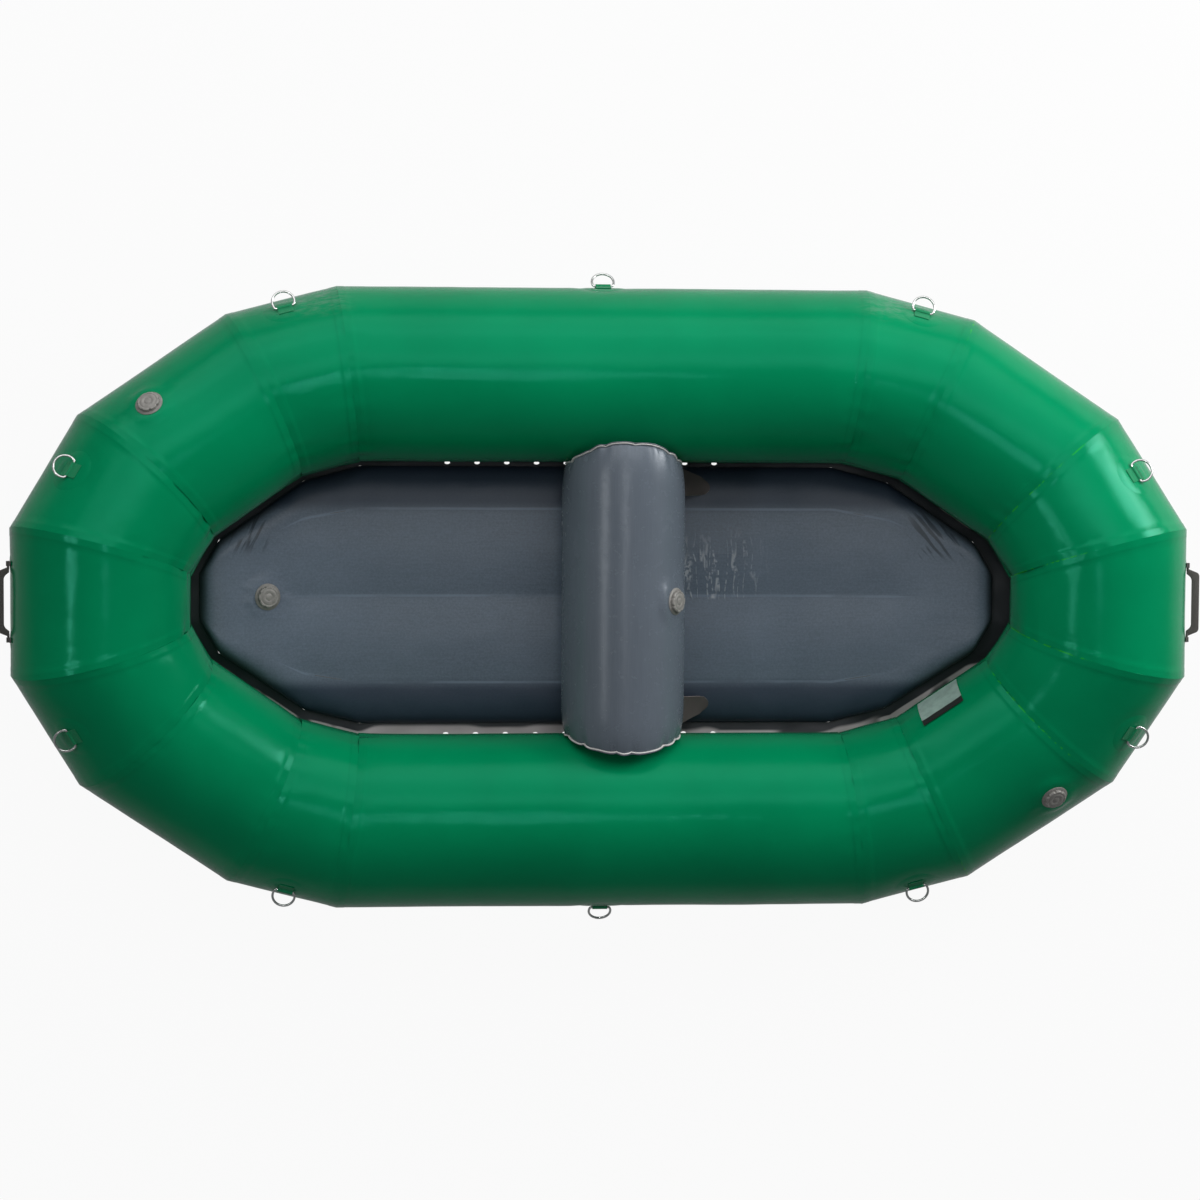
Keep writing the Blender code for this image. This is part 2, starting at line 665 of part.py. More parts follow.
def skirt_line(panels, x, y, angle):
    """Where the skirt that leaves the floor's edge at (x, y) runs on the tube: the same share of that panel."""
    corners = OUTLINE + [Vector((OUTLINE[3].x, -OUTLINE[3].y))]
    port, bow = ("port" if y >= 0 else "starboard"), ("bow" if x >= 0 else "stern")
    names = [f"{port}_side_panel"] + [f"{bow}_{port}_{part}" for part in ("shoulder", "quarter", "cheek")]
    flat = Vector((abs(x), abs(y)))
    legs = [(Vector((-corners[0].x, corners[0].y)), corners[0])] + list(zip(corners, corners[1:4]))
    for name, (near, far) in zip(names, legs):
        share = (flat - near).dot(far - near) / (far - near).length_squared
        if share <= 1.0001:
            break
    else:
        name = f"{bow}_panel"
        share = (OUTLINE[3].y - flat.y) / (2 * OUTLINE[3].y)
    panel = panels[name]
    clear = (TUBE_RADIUS + GAP) / math.cos(SKIRT_LAP / TUBE_RADIUS / 2)
    ends = [panel.on_mitre(angle + panel.turn, clear, at_end, 0) for at_end in (False, True)]
    mirror = Vector((1 if x >= 0 else -1, 1 if y >= 0 else -1))
    near, far = sorted(ends, key=lambda point: point.x * mirror.x - point.y * mirror.y)
    return near.lerp(far, min(1.0, max(0.0, share)))


def extrude_skirt(bm, edges, roots, panels, angle):
    """Runs the open edges on to the tube's surface at an angle, and returns the new edges and their roots."""
    made = bmesh.ops.extrude_edge_only(bm, edges=edges)["geom"]
    outer = [item for item in made if isinstance(item, bmesh.types.BMEdge)]
    moved = {}
    for vert in {vert for edge in outer for vert in edge.verts}:
        root = roots.get(tuple(round(value, 6) for value in vert.co), (vert.co.x, vert.co.y))
        vert.co = skirt_line(panels, *root, angle)
        moved[tuple(round(value, 6) for value in vert.co)] = root
    return outer, moved


def drain_holes(panels):
    """Slots through the skirt, a little outboard of the floor's straight edges."""
    bm = bmesh.new()
    shape = Matrix.Diagonal((DRAIN_LENGTH / 2, DRAIN_WIDTH / 2, 1, 1))
    for step in range(DRAIN_COUNT):
        x = DRAIN_X + (step - (DRAIN_COUNT - 1) / 2) * DRAIN_PITCH
        for side in (1, -1):
            edge = Vector((x, side * floor_half_width(x), floor_middle(x)))
            foot = skirt_line(panels, x, edge.y, math.pi - SKIRT_ANGLE)
            middle = edge.lerp(foot, DRAIN_SETBACK / (foot - edge).length)
            bmesh.ops.create_cone(
                bm, cap_ends=True, segments=6, radius1=1, radius2=1, depth=DRAIN_WIDTH * 2,
                matrix=Matrix.Translation(middle) @ shape,
            )
    return cutter("drain_holes", finish_mesh("drain_holes", bm))


def add_sheet(name, bm, look, offset=-1):
    """An object for an open fabric surface, thickened against its faces' direction."""
    mesh = bpy.data.meshes.new(name)
    bm.to_mesh(mesh)
    bm.free()
    mesh.shade_smooth()
    obj = add_object(name, mesh, look)
    solid = obj.modifiers.new("fabric", "SOLIDIFY")
    solid.thickness = FABRIC
    solid.offset = offset
    solid.use_even_offset = True
    return obj


def build_floor(panels):
    """Two sheets and three beams. The bottom sheet runs on as the drained skirt and a lap on the tubes."""
    top = add_sheet("floor_top", floor_sheet(1), FLOOR_LOOK)
    bm = floor_sheet(-1)
    edges = [edge for edge in bm.edges if edge.is_boundary]
    edges, roots = extrude_skirt(bm, edges, {}, panels, math.pi - SKIRT_ANGLE)
    extrude_skirt(bm, edges, roots, panels, math.pi - SKIRT_ANGLE + SKIRT_LAP / TUBE_RADIUS)
    bottom = add_sheet("floor_bottom", bm, SKIRT_LOOK)
    combine(bottom, drain_holes(panels), "DIFFERENCE")

    stations = [x for x in floor_stations() if abs(x) <= BEAM_HALF_LENGTH + GAP]
    for name, share in (("port", BEAM_SHARE), ("centre", 0.0), ("starboard", -BEAM_SHARE)):
        beam = laid_grid(
            stations,
            (-1, 1),
            lambda x, side, share=share: (
                x,
                share * floor_half_width(x),
                floor_middle(x) + side * (floor_bulge(x, share) - FABRIC - BEAM_CLEARANCE),
            ),
        )
        add_sheet(f"floor_beam_{name}", beam, INNER_LOOK, 0)
    return top


# The thwart


THWART_HEIGHT = floor_middle(THWART_X) + FLOOR_CREST / 2 + THWART_LIFT + THWART_RADIUS
THWART_END_RADIUS = THWART_RADIUS - THWART_DRAW_IN
END_RINGS = THWART_END_STATIONS + (1 + HEM_WIDTH / THWART_END_RADIUS,)
END_CLEAR = GAP + (END_RINGS[1] * THWART_END_RADIUS) ** 2 / (8 * TUBE_RADIUS)  # its flats span the tube's curve


def tube_face(height, offset=0.0):
    """Half the width between the side tubes at a height, less an offset from their surface."""
    across = (TUBE_RADIUS + offset) ** 2 - (height - TUBE_CENTRE_HEIGHT) ** 2
    return HULL_BEAM / 2 - TUBE_RADIUS - math.sqrt(max(0.0, across))


def seam_reach(height):
    """Where the thwart's wall ends, which bends round the tube by part of the tube's own curve."""
    hugging = TUBE_CENTRE_HEIGHT + (height - TUBE_CENTRE_HEIGHT) * THWART_HUG
    return tube_face(hugging, END_CLEAR) - FABRIC - 2 * GAP


def thwart_point(angle, along, inner):
    """A point of the wall: along runs from -1 to 1, and the drawn-in ends begin half way out."""
    spoke = Vector((math.cos(angle), 0, math.sin(angle)))
    reach = seam_reach(THWART_HEIGHT + spoke.z * THWART_END_RADIUS)
    share = abs(along)
    straight = reach - THWART_DRAW_LENGTH
    turn = math.pi * max(0.0, share - 0.5)
    y = straight * min(1.0, share * 2) + THWART_DRAW_LENGTH * math.sin(turn)
    radius = THWART_END_RADIUS + THWART_DRAW_IN * math.cos(turn)
    y = math.copysign(y, along)
    return Vector((THWART_X, y, THWART_HEIGHT)) + spoke * (radius - inner)


def build_thwart():
    section = [(along, 0) for along in THWART_STATIONS]
    section += [(along, FABRIC) for along in reversed(THWART_STATIONS)]
    section.append(section[0])
    wall = wrapped(section, THWART_SIDES, lambda angle, ring: thwart_point(angle, *ring))
    for name, side in (("port", 1), ("starboard", -1)):
        build_thwart_end(name, side)
        build_thwart_tab(name, side)
    return add_object("thwart_wall", finish_mesh("thwart_wall", wall), THWART_LOOK)


def build_thwart_end(name, side):
    """A domed end cap whose welded hem stands out round the wall, pressed flat where the tube meets it."""
    section = [(share, 0) for share in END_RINGS] + [(share, FABRIC) for share in reversed(END_RINGS)]

    def place(angle, ring):
        share, inner = ring
        height = THWART_HEIGHT + math.sin(angle) * share * THWART_END_RADIUS
        dome = THWART_DOME * max(0.0, 1 - share**2)
        reach = seam_reach(height) + GAP + FABRIC + dome
        reach = min(reach, tube_face(height, END_CLEAR)) - inner
        x = THWART_X + math.cos(angle) * share * THWART_END_RADIUS
        return Vector((x, side * reach, height))

    end = wrapped(section, THWART_SIDES, place)
    add_object(f"thwart_{name}_end", finish_mesh(name, end), THWART_LOOK)


def build_thwart_tab(name, side):
    """A stiff fabric wing from the thwart's lower bow side down to the floor, which anchors the thwart."""
    spoke = Vector((math.cos(TAB_ROOT_ANGLE), 0, math.sin(TAB_ROOT_ANGLE)))
    root = Vector((THWART_X, 0, THWART_HEIGHT)) + spoke * (THWART_RADIUS + GAP)
    outer = seam_reach(root.z) - TAB_INSET
    bm = bmesh.new()
    bmesh.ops.create_cube(bm, size=1.0)
    for vert in bm.verts:
        tip, outboard, top = vert.co.x > 0, vert.co.y > 0, vert.co.z > 0
        width = TAB_TIP if tip else TAB_ROOT
        y = outer - TAB_ROOT / 2 + (width if outboard else -width) / 2
        x = root.x + (TAB_REACH if tip else 0)
        low = floor_face(x, y) + GAP if tip else root.z - TAB_THICKNESS
        z = low + (TAB_THICKNESS if top else 0)
        vert.co = (x, side * y, z)
    add_object(f"thwart_{name}_tab", finish_mesh(name, bm), TAB_LOOK)


# The valves


FLANGE_TOP = GAP + FLANGE_THICKNESS
HEAD_TOP = LIP_HEIGHT - GAP
HEAD_UNDERSIDE = HEAD_TOP - HEAD_THICKNESS
WEB_TOP = WEB_THICKNESS - BARREL_DEPTH
GASKET_TOP = NECK_HEIGHT + GAP + GASKET_THICKNESS
CAP_CEILING = GASKET_TOP + GAP
CAP_HEIGHT = CAP_CEILING + CAP_TOP


def floor_valve_place():
    step = 0.01
    heights = [floor_middle(x) + floor_bulge(x, 0) for x in (FLOOR_VALVE_X - step, FLOOR_VALVE_X + step)]
    slope = (heights[1] - heights[0]) / (2 * step)
    normal = Vector((-slope, 0, 1)).normalized()
    surface = Vector((FLOOR_VALVE_X, 0, floor_middle(FLOOR_VALVE_X) + floor_bulge(FLOOR_VALVE_X, 0)))
    along = Vector((0, 1, 0)).cross(normal)
    return frame_matrix(surface + normal * BOSS_PROUD, along, Vector((0, 1, 0)), normal)


def thwart_valve_place():
    normal = Vector((math.cos(THWART_VALVE_ELEVATION), 0, math.sin(THWART_VALVE_ELEVATION)))
    origin = Vector((THWART_X, 0, THWART_HEIGHT)) + normal * (THWART_RADIUS + BOSS_PROUD)
    return frame_matrix(origin, Vector((0, 1, 0)).cross(normal), Vector((0, 1, 0)), normal)


def valve_places(panels):
    """Each valve's name, the node whose wall carries it, and its frame on the boss's face, Z outward."""
    stern, bow = panels["stern_port_quarter"], panels["bow_starboard_quarter"]
    return {
        "stern_valve": ("stern_port_quarter", stern.anchor(TUBE_VALVE_ELEVATION, -TUBE_VALVE_SHIFT, BOSS_PROUD)),
        "bow_valve": ("bow_starboard_quarter", bow.anchor(TUBE_VALVE_ELEVATION, -TUBE_VALVE_SHIFT, BOSS_PROUD)),
        "thwart_valve": ("thwart_wall", thwart_valve_place()),
        "floor_valve": ("floor_top", floor_valve_place()),
    }


def add_boss(carrier, name, place):
    """A flat reinforced disc in the fabric, bored for the valve's barrel."""
    disc = cylinder_mesh(f"{name}_boss", BOSS_RADIUS, BOSS_THICKNESS, BOSS_SIDES, (0, 0, -BOSS_THICKNESS / 2))
    bore_radius, bore_depth = BARREL_RADIUS + BARREL_CLEARANCE, BOSS_THICKNESS * 3
    bore = cylinder_mesh(f"{name}_bore", bore_radius, bore_depth, BARREL_SIDES)
    combine(carrier, cutter(f"{name}_boss", disc, place), "UNION")
    combine(carrier, cutter(f"{name}_bore", bore, place), "DIFFERENCE")


def build_valve_body(name, place):
    """Flange, threaded neck, barrel with its clamp ring, valve seat, and a web that guides the stem."""
    clamp_top = -BOSS_THICKNESS - GAP
    guide = STEM_RADIUS + STEM_CLEARANCE
    profile = [
        (NECK_RADIUS, NECK_HEIGHT), (NECK_RADIUS, FLANGE_TOP), (FLANGE_RADIUS, FLANGE_TOP),
        (FLANGE_RADIUS, GAP), (BARREL_RADIUS, GAP), (BARREL_RADIUS, clamp_top),
        (CLAMP_RADIUS, clamp_top), (CLAMP_RADIUS, clamp_top - CLAMP_THICKNESS),
        (BARREL_RADIUS, clamp_top - CLAMP_THICKNESS), (BARREL_RADIUS, -BARREL_DEPTH),
        (guide, -BARREL_DEPTH), (guide, WEB_TOP), (BARREL_BORE, WEB_TOP), (BARREL_BORE, LIP_HEIGHT),
        (LIP_RADIUS, LIP_HEIGHT), (LIP_RADIUS, LIP_HEIGHT + LIP_THICKNESS),
        (SOCKET_RADIUS, LIP_HEIGHT + LIP_THICKNESS), (SOCKET_RADIUS, NECK_HEIGHT),
    ]
    body = turned_object(f"{name}_body", profile, VALVE_LOOK, place, BARREL_SIDES)
    bm = bmesh.new()
    for step in range(PORT_COUNT):
        angle = 2 * math.pi * (step + 0.5) / PORT_COUNT
        centre = Vector((math.cos(angle), math.sin(angle), 0)) * (guide + BARREL_BORE) / 2
        centre.z = WEB_TOP - WEB_THICKNESS / 2
        bmesh.ops.create_cone(
            bm, cap_ends=True, segments=6, radius1=PORT_RADIUS, radius2=PORT_RADIUS,
            depth=2 * WEB_THICKNESS, matrix=Matrix.Translation(centre),
        )
    combine(body, cutter(f"{name}_ports", finish_mesh(f"{name}_ports", bm), place), "DIFFERENCE")


def build_valve_cap(name, place):
    edge = CAP_TOP / 2
    bore = NECK_RADIUS + CAP_CLEARANCE
    profile = [
        (0, CAP_HEIGHT), (CAP_RADIUS - edge, CAP_HEIGHT), (CAP_RADIUS, CAP_HEIGHT - edge),
        (CAP_RADIUS, FLANGE_TOP + GAP), (bore, FLANGE_TOP + GAP), (bore, CAP_CEILING), (0, CAP_CEILING),
    ]
    cap = turned_object(f"{name}_cap", profile, CAP_LOOK, place, CAP_SIDES)
    bm = bmesh.new()
    for step in range(CAP_NOTCHES):
        angle = 2 * math.pi * (step + 0.5) / CAP_NOTCHES
        reach = CAP_RADIUS + CAP_NOTCH_RADIUS - CAP_NOTCH_DEPTH
        centre = Vector((math.cos(angle), math.sin(angle), 0)) * reach
        bmesh.ops.create_cone(
            bm, cap_ends=True, segments=8, radius1=CAP_NOTCH_RADIUS, radius2=CAP_NOTCH_RADIUS,
            depth=4 * CAP_HEIGHT, matrix=Matrix.Translation(centre),
        )
    notches = cutter(f"{name}_notches", finish_mesh(f"{name}_notches", bm), place)
    combine(cap, notches, "DIFFERENCE")


def build_valve(name, place):
    build_valve_body(name, place)
    build_valve_cap(name, place)
    gasket = [
        (GASKET_OUTER, GASKET_TOP), (GASKET_OUTER, NECK_HEIGHT + GAP),
        (GASKET_INNER, NECK_HEIGHT + GAP), (GASKET_INNER, GASKET_TOP),
    ]
    turned_object(f"{name}_gasket", gasket, RUBBER_LOOK, place, BARREL_SIDES)
    bottom = -BARREL_DEPTH - STEM_OVERHANG
    poppet = [
        (0, HEAD_TOP), (HEAD_RADIUS, HEAD_TOP), (HEAD_RADIUS, HEAD_UNDERSIDE),
        (STEM_RADIUS, HEAD_UNDERSIDE), (STEM_RADIUS, bottom), (0, bottom),
    ]
    turned_object(f"{name}_poppet", poppet, VALVE_LOOK, place, HEAD_SIDES)
    low = WEB_TOP + GAP + SPRING_WIRE / 2
    high = HEAD_UNDERSIDE - GAP - SPRING_WIRE / 2
    steps = SPRING_TURNS * SPRING_POINTS
    coil = []
    for step in range(steps + 1):
        angle = 2 * math.pi * SPRING_TURNS * step / steps
        height = low + (high - low) * step / steps
        coil.append((SPRING_RADIUS * math.cos(angle), SPRING_RADIUS * math.sin(angle), height))
    spring = bpy.data.objects.new(f"{name}_spring", wire_curve(name, coil, SPRING_WIRE / 2, 0, False))
    spring.data.materials.append(STEEL_LOOK)
    spring.matrix_world = place
    PARTS.objects.link(spring)


def build():
    panels = all_panels()
    carriers = build_tube(panels)
    build_baffles(panels)
    build_rings(panels, carriers)
    build_handles(panels, carriers)
    carriers["floor_top"] = build_floor(panels)
    carriers["thwart_wall"] = build_thwart()
    for name, (carrier, place) in valve_places(panels).items():
        add_boss(carriers[carrier], name, place)
        build_valve(name, place)
    bpy.context.view_layer.update()


clear_scene()
PARTS = collection("self_bailing_raft")
CUTTERS = collection("cutters")
TUBE_LOOK = material("tube_fabric", (0.002, 0.25, 0.11), 0.35)
FLOOR_LOOK = material("floor_fabric", (0.07, 0.09, 0.11), 0.45)
THWART_LOOK = material("thwart_fabric", (0.10, 0.12, 0.15), 0.4)
SKIRT_LOOK = material("skirt_fabric", (0.28, 0.25, 0.27), 0.6)
INNER_LOOK = material("inner_fabric", (0.05, 0.055, 0.06), 0.6)
TAB_LOOK = material("tab_fabric", (0.02, 0.021, 0.024), 0.7)
WEBBING_LOOK = material("webbing", (0.035, 0.036, 0.034), 0.8)
VALVE_LOOK = material("valve_plastic", (0.16, 0.16, 0.15), 0.5)
CAP_LOOK = material("cap_plastic", (0.22, 0.22, 0.21), 0.5)
RUBBER_LOOK = material("gasket_rubber", (0.02, 0.02, 0.02), 0.8)
STEEL_LOOK = material("stainless_steel", (0.6, 0.62, 0.6), 0.25, 1.0)
build()
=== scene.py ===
"""A small self-bailing river raft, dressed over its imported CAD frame."""

import math

import bmesh
import bpy
from mathutils import Matrix, Vector, noise


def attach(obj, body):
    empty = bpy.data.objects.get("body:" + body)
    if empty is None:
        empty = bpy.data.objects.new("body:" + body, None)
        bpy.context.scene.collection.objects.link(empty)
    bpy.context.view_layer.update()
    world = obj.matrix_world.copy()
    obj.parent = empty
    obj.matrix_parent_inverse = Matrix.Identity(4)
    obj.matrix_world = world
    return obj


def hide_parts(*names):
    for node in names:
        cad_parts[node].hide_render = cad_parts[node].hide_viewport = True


bl_info = {
    "name": "Self-bailing raft",
    "version": (1, 0, 0),
    "blender": (4, 5, 0),
    "location": "3D View > Sidebar > Raft",
    "description": "Builds an inflatable self-bailing raft: tubes, floor, thwart, rings, handles and valves",
    "category": "Object",
}

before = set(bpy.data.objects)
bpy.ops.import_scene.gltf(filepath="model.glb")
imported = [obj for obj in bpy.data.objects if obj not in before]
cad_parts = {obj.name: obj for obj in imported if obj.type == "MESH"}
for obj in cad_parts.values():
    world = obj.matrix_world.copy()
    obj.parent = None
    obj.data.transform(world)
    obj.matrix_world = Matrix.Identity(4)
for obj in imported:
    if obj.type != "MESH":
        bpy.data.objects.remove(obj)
UP = Vector((0, 0, 1))
MERGE = 0.00001
CLOTH_MAP = "cloth"  # a UV map in metres, along and round each fabric piece
SEAM_MAP = "seam"  # a UV map: how far a point lies from the nearest seam, in metres

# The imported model's own sizes, in metres. Every piece goes where they say.
HULL_LENGTH = 2.93
HULL_BEAM = 1.567
TUBE_RADIUS = 0.22
TUBE_STEP = 2 * math.pi / 28
TUBE_CENTRE_HEIGHT = TUBE_RADIUS * math.cos(TUBE_STEP / 2)
LEGS = (  # length, heading and rise of the three turning panels
    (0.218, math.radians(15.1), 0.015),
    (0.354, math.radians(35.1), 0.065),
    (0.210, math.radians(60.5), 0.060),
)
FABRIC = 0.0012
GAP = 0.0003
FLOOR_UNDERSIDE = 0.006
FLOOR_CREST = 0.100
FLOOR_CREASE = 0.082
FLOOR_INSET = 0.012
FLOOR_RISE = 0.125
FLOOR_RISE_LENGTH = 0.49
FLOOR_RISE_POWER = 1.6
FLOOR_END_ROUND = 0.085
BEAM_OFFSET = 0.223
BEAM_FADE = 0.10
SKIRT_ANGLE = math.radians(-42)
SKIRT_LAP = 0.025
DRAIN_COUNT = 10
DRAIN_PITCH = 0.0765
DRAIN_X = -0.04
DRAIN_LENGTH = 0.014
DRAIN_WIDTH = 0.008
DRAIN_SETBACK = 0.019
DRAIN_SHIFT = 0.010  # the skirt hangs this far to starboard of its even place
THWART_X = 0.052
THWART_RADIUS = 0.155
THWART_LIFT = 0.004
THWART_DRAW_IN = 0.014
THWART_DRAW_LENGTH = 0.09
THWART_HUG = 0.66
THWART_DOME = 0.03
PORT_LEAN = 0.017  # how much further out the port hem's top lies
LEAN_HEIGHTS = (0.03, 0.14)  # above the thwart's axis, where that lean starts and where it is full
HEM_WIDTH = 0.007
TAB_ROOT = 0.078
TAB_REACH = 0.104
TAB_TIP = 0.028
TAB_INSET = 0.010
TAB_THICKNESS = 0.003
TAB_SPREAD = 0.008
TAB_ROOT_ANGLE = math.radians(-30)
RING_RADIUS = 0.0275
WIRE_RADIUS = 0.003
RING_BAR_OFFSET = 0.014
RING_CORNER = 0.006
PATCH_RADIUS = 0.055
PATCH_THICKNESS = 0.0015
LOOP_BORE = 0.0034
LOOP_WALL = 0.0018
PIVOT_HEIGHT = 0.0052
LOOP_LENGTH = 0.0379
HANDLE_ELEVATION = math.radians(10)
HANDLE_HALF = 0.073
HANDLE_FOOT_REACH = 0.086
HANDLE_REACH = 0.030
HANDLE_STRAP = 0.0195
HANDLE_THICKNESS = 0.004
HANDLE_FOOT = 0.0025
HANDLE_FOOT_WIDTH = 0.014
EYE_LENGTH = 0.012
EYE_END_PLAY = 0.0015
EYE_PATCH_RADIUS = 0.026
EYE_SHIFT = HANDLE_FOOT_REACH + EYE_END_PLAY + EYE_LENGTH / 2
TUBE_VALVE_ELEVATION = math.radians(52)
TUBE_VALVE_SHIFT = -0.088
THWART_VALVE_ELEVATION = math.radians(38)
FLOOR_VALVE_SETBACK = 0.17
BOSS_PROUD = 0.002
BARREL_RADIUS = 0.017
FLANGE_TOP = 0.0028
FLANGE_RADIUS = 0.034
NECK_RADIUS = 0.020
NECK_HEIGHT = 0.0075
CLAMP_TOP = -0.0088
CLAMP_RADIUS = 0.030
CLAMP_THICKNESS = 0.003
BARREL_DEPTH = 0.024
WEB_TOP = -0.021
GUIDE_RADIUS = 0.0024
BARREL_BORE = 0.014
LIP_RADIUS = 0.0095
LIP_HEIGHT = 0.0010
LIP_THICKNESS = 0.0015
SOCKET_RADIUS = 0.013
CAP_RADIUS = 0.0275
CAP_BORE = 0.0206
CAP_CEILING = 0.0091
CAP_HEIGHT = 0.0115
CAP_NOTCHES = 8
CAP_NOTCH_RADIUS = 0.0038
CAP_NOTCH_DEPTH = 0.0025

PANEL_NAMES = (
    "bow_port_shoulder", "bow_port_quarter", "bow_port_cheek", "bow_panel",
    "bow_starboard_cheek", "bow_starboard_quarter", "bow_starboard_shoulder", "starboard_side_panel",
    "stern_starboard_shoulder", "stern_starboard_quarter", "stern_starboard_cheek", "stern_panel",
    "stern_port_cheek", "stern_port_quarter", "stern_port_shoulder", "port_side_panel",
)
WEBS = ("port_baffle", "starboard_baffle", "floor_beam_port", "floor_beam_centre", "floor_beam_starboard")
SIDE_RING = (math.radians(3), math.radians(40))
SHOULDER_RING = (math.radians(29), math.radians(20))
CHEEK_RING = (math.radians(46), math.radians(5))
RINGS = (  # name, panel, elevation and droop, shift along the panel
    ("port_centre_ring", "port_side_panel", SIDE_RING, 0.0),
    ("bow_port_shoulder_ring", "bow_port_shoulder", SHOULDER_RING, 0.005),
    ("bow_port_cheek_ring", "bow_port_cheek", CHEEK_RING, 0.002),
    ("bow_starboard_cheek_ring", "bow_starboard_cheek", CHEEK_RING, -0.002),
    ("bow_starboard_shoulder_ring", "bow_starboard_shoulder", SHOULDER_RING, -0.005),
    ("starboard_centre_ring", "starboard_side_panel", SIDE_RING, 0.0),
    ("stern_starboard_shoulder_ring", "stern_starboard_shoulder", SHOULDER_RING, 0.005),
    ("stern_starboard_cheek_ring", "stern_starboard_cheek", CHEEK_RING, 0.002),
    ("stern_port_cheek_ring", "stern_port_cheek", CHEEK_RING, -0.002),
    ("stern_port_shoulder_ring", "stern_port_shoulder", SHOULDER_RING, -0.005),
)
HANDLES = (("bow_handle", "bow_panel"), ("stern_handle", "stern_panel"))

SKIN_RADIUS = 0.2192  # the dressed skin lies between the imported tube's flats and its corners
SHARP_ANGLE = math.radians(50)


# Shader arithmetic


class Socket:
    """An output of a shader node. Arithmetic on it adds Math nodes."""

    def __init__(self, look, output):
        self.look = look
        self.output = output

    def maths(self, operation, *values):
        return self.look.node("Math", {"operation": operation}, values)

    def __add__(self, other):
        return self.maths("ADD", self, other)

    def __sub__(self, other):
        return self.maths("SUBTRACT", self, other)

    def __rsub__(self, other):
        return self.maths("SUBTRACT", other, self)

    def __mul__(self, other):
        return self.maths("MULTIPLY", self, other)

    __radd__ = __add__

    def sine(self):
        return self.maths("SINE", self)

    def size(self):
        return self.maths("ABSOLUTE", self)

    def or_more(self, other):
        return self.maths("MAXIMUM", self, other)

    def ramp(self, low, high, to_low=0.0, to_high=1.0):
        """Rises smoothly from to_low at low to to_high at high."""
        settings = {"interpolation_type": "SMOOTHSTEP"}
        return self.look.node("MapRange", settings, (self, low, high, to_low, to_high))

    def band(self, low, rise, fall, high):
        """Is 1 from rise to fall, and goes down to 0 at low and at high."""
        return self.ramp(low, rise) * self.ramp(high, fall)


class Look:
    """A procedural material round one Principled shader."""

    def __init__(self, name, constants):
        self.material = bpy.data.materials.new(name)
        self.material.use_nodes = True
        self.tree = self.material.node_tree
        self.shader = self.tree.nodes["Principled BSDF"]
        for socket, value in constants.items():
            self.feed(self.shader.inputs[socket], value)

    def feed(self, target, value):
        if isinstance(value, Socket):
            self.tree.links.new(value.output, target)
        elif target.type == "RGBA" and len(value) == 3:
            target.default_value = (*value, 1)
        else:
            target.default_value = value

    def node(self, kind, settings=None, sockets=(), output=0):
        """Adds a node: its settings first, then the values or links of its sockets."""
        made = self.tree.nodes.new(f"ShaderNode{kind}")
        for name, value in (settings or {}).items():
            setattr(made, name, value)
        for key, value in sockets.items() if isinstance(sockets, dict) else enumerate(sockets):
            self.feed(made.inputs[key], value)
        return Socket(self, made.outputs[output])

    def place(self, stretch=(1, 1, 1), turn=(0, 0, 0)):
        """Object coordinates, in metres, stretched and turned."""
        spot = self.node("TexCoord", output=3)
        return self.node("Mapping", {}, {"Vector": spot, "Rotation": turn, "Scale": stretch})

    def slanted(self, angle, across, along):
        """Object coordinates for streaks that lie at an angle to Y in plan."""
        x, y, z = self.parts(self.place())
        first = x * (math.cos(angle) * across) + y * (math.sin(angle) * across)
        second = y * (math.cos(angle) * along) - x * (math.sin(angle) * along)
        return self.node("CombineXYZ", {}, (first, second, z * along))

    def parts(self, vector):
        """The three values of a vector."""
        split = self.node("SeparateXYZ", {}, (vector,)).output.node
        return [Socket(self, output) for output in split.outputs]

    def chart(self, name=CLOTH_MAP):
        """The two values of a UV map, in metres."""
        return self.parts(self.node("UVMap", {"uv_map": name}))[:2]

    def grain(self, vector, scale, detail=2.0, roughness=0.5):
        sockets = {"Vector": vector, "Scale": scale, "Detail": detail, "Roughness": roughness}
        return self.node("TexNoise", {}, sockets)

    def mix(self, factor, first, second):
        """The first colour, turned toward the second by the factor."""
        return self.node("Mix", {"data_type": "RGBA"}, {0: factor, 6: first, 7: second}, 2)

    def weave(self, along, around, pitch, ratio=1.0):
        """A weave's height, from -1 to 1. The threads round the piece may be closer by a ratio."""
        turns = 2 * math.pi / pitch
        return (along * turns).sine() * (around * (turns * ratio)).sine()

    def set(self, colour, roughness, height=None):
        """Feeds what varies over the surface. Height is in metres."""
        self.feed(self.shader.inputs["Base Color"], colour)
        self.feed(self.shader.inputs["Roughness"], roughness)
        if height is not None:
            bump = self.node("Bump", {}, {"Height": height, "Distance": 1.0, "Strength": 1.0})
            self.feed(self.shader.inputs["Normal"], bump)


def shade(colour, amount):
    return tuple(channel * amount for channel in colour)


# Finishes. Masks on Object coordinates hold the places of marks and of painted shade and highlights, in
# metres.

WHITE_TINT = (1, 1, 1, 1)
TUBE_TINT = (0.16, 1.0, 0.78, 1)
TUBE_GLOSS = 0.22
TUBE_ROUGHNESS = 0.13
WEAVE_PITCH = 0.0009
WEAVE_DEPTH = 0.000012
RIB_PITCH = 0.0024
RUBBED_CLOTH = (0.20, 0.27, 0.235)
DUSTY_CLOTH = (0.105, 0.115, 0.11)
SEAM_GLUE = (0.018, 0.36, 0.025)
# Painted shade for the floor's outer chambers.
OUTER_CHAMBER_PAINTED_SHADE = (0.018, 0.030, 0.056)
PAINTED_WET_GLINT = (0.42, 0.45, 0.49)
SKIRT_SHADOW = (0.009, 0.013, 0.019)
LABEL_BAND = (0.012, 0.014, 0.013)
BLACK_RUBBER = (0.018, 0.018, 0.018)
BRIGHT_STEEL = (0.66, 0.67, 0.66)
DULL_STEEL = (0.46, 0.47, 0.46)


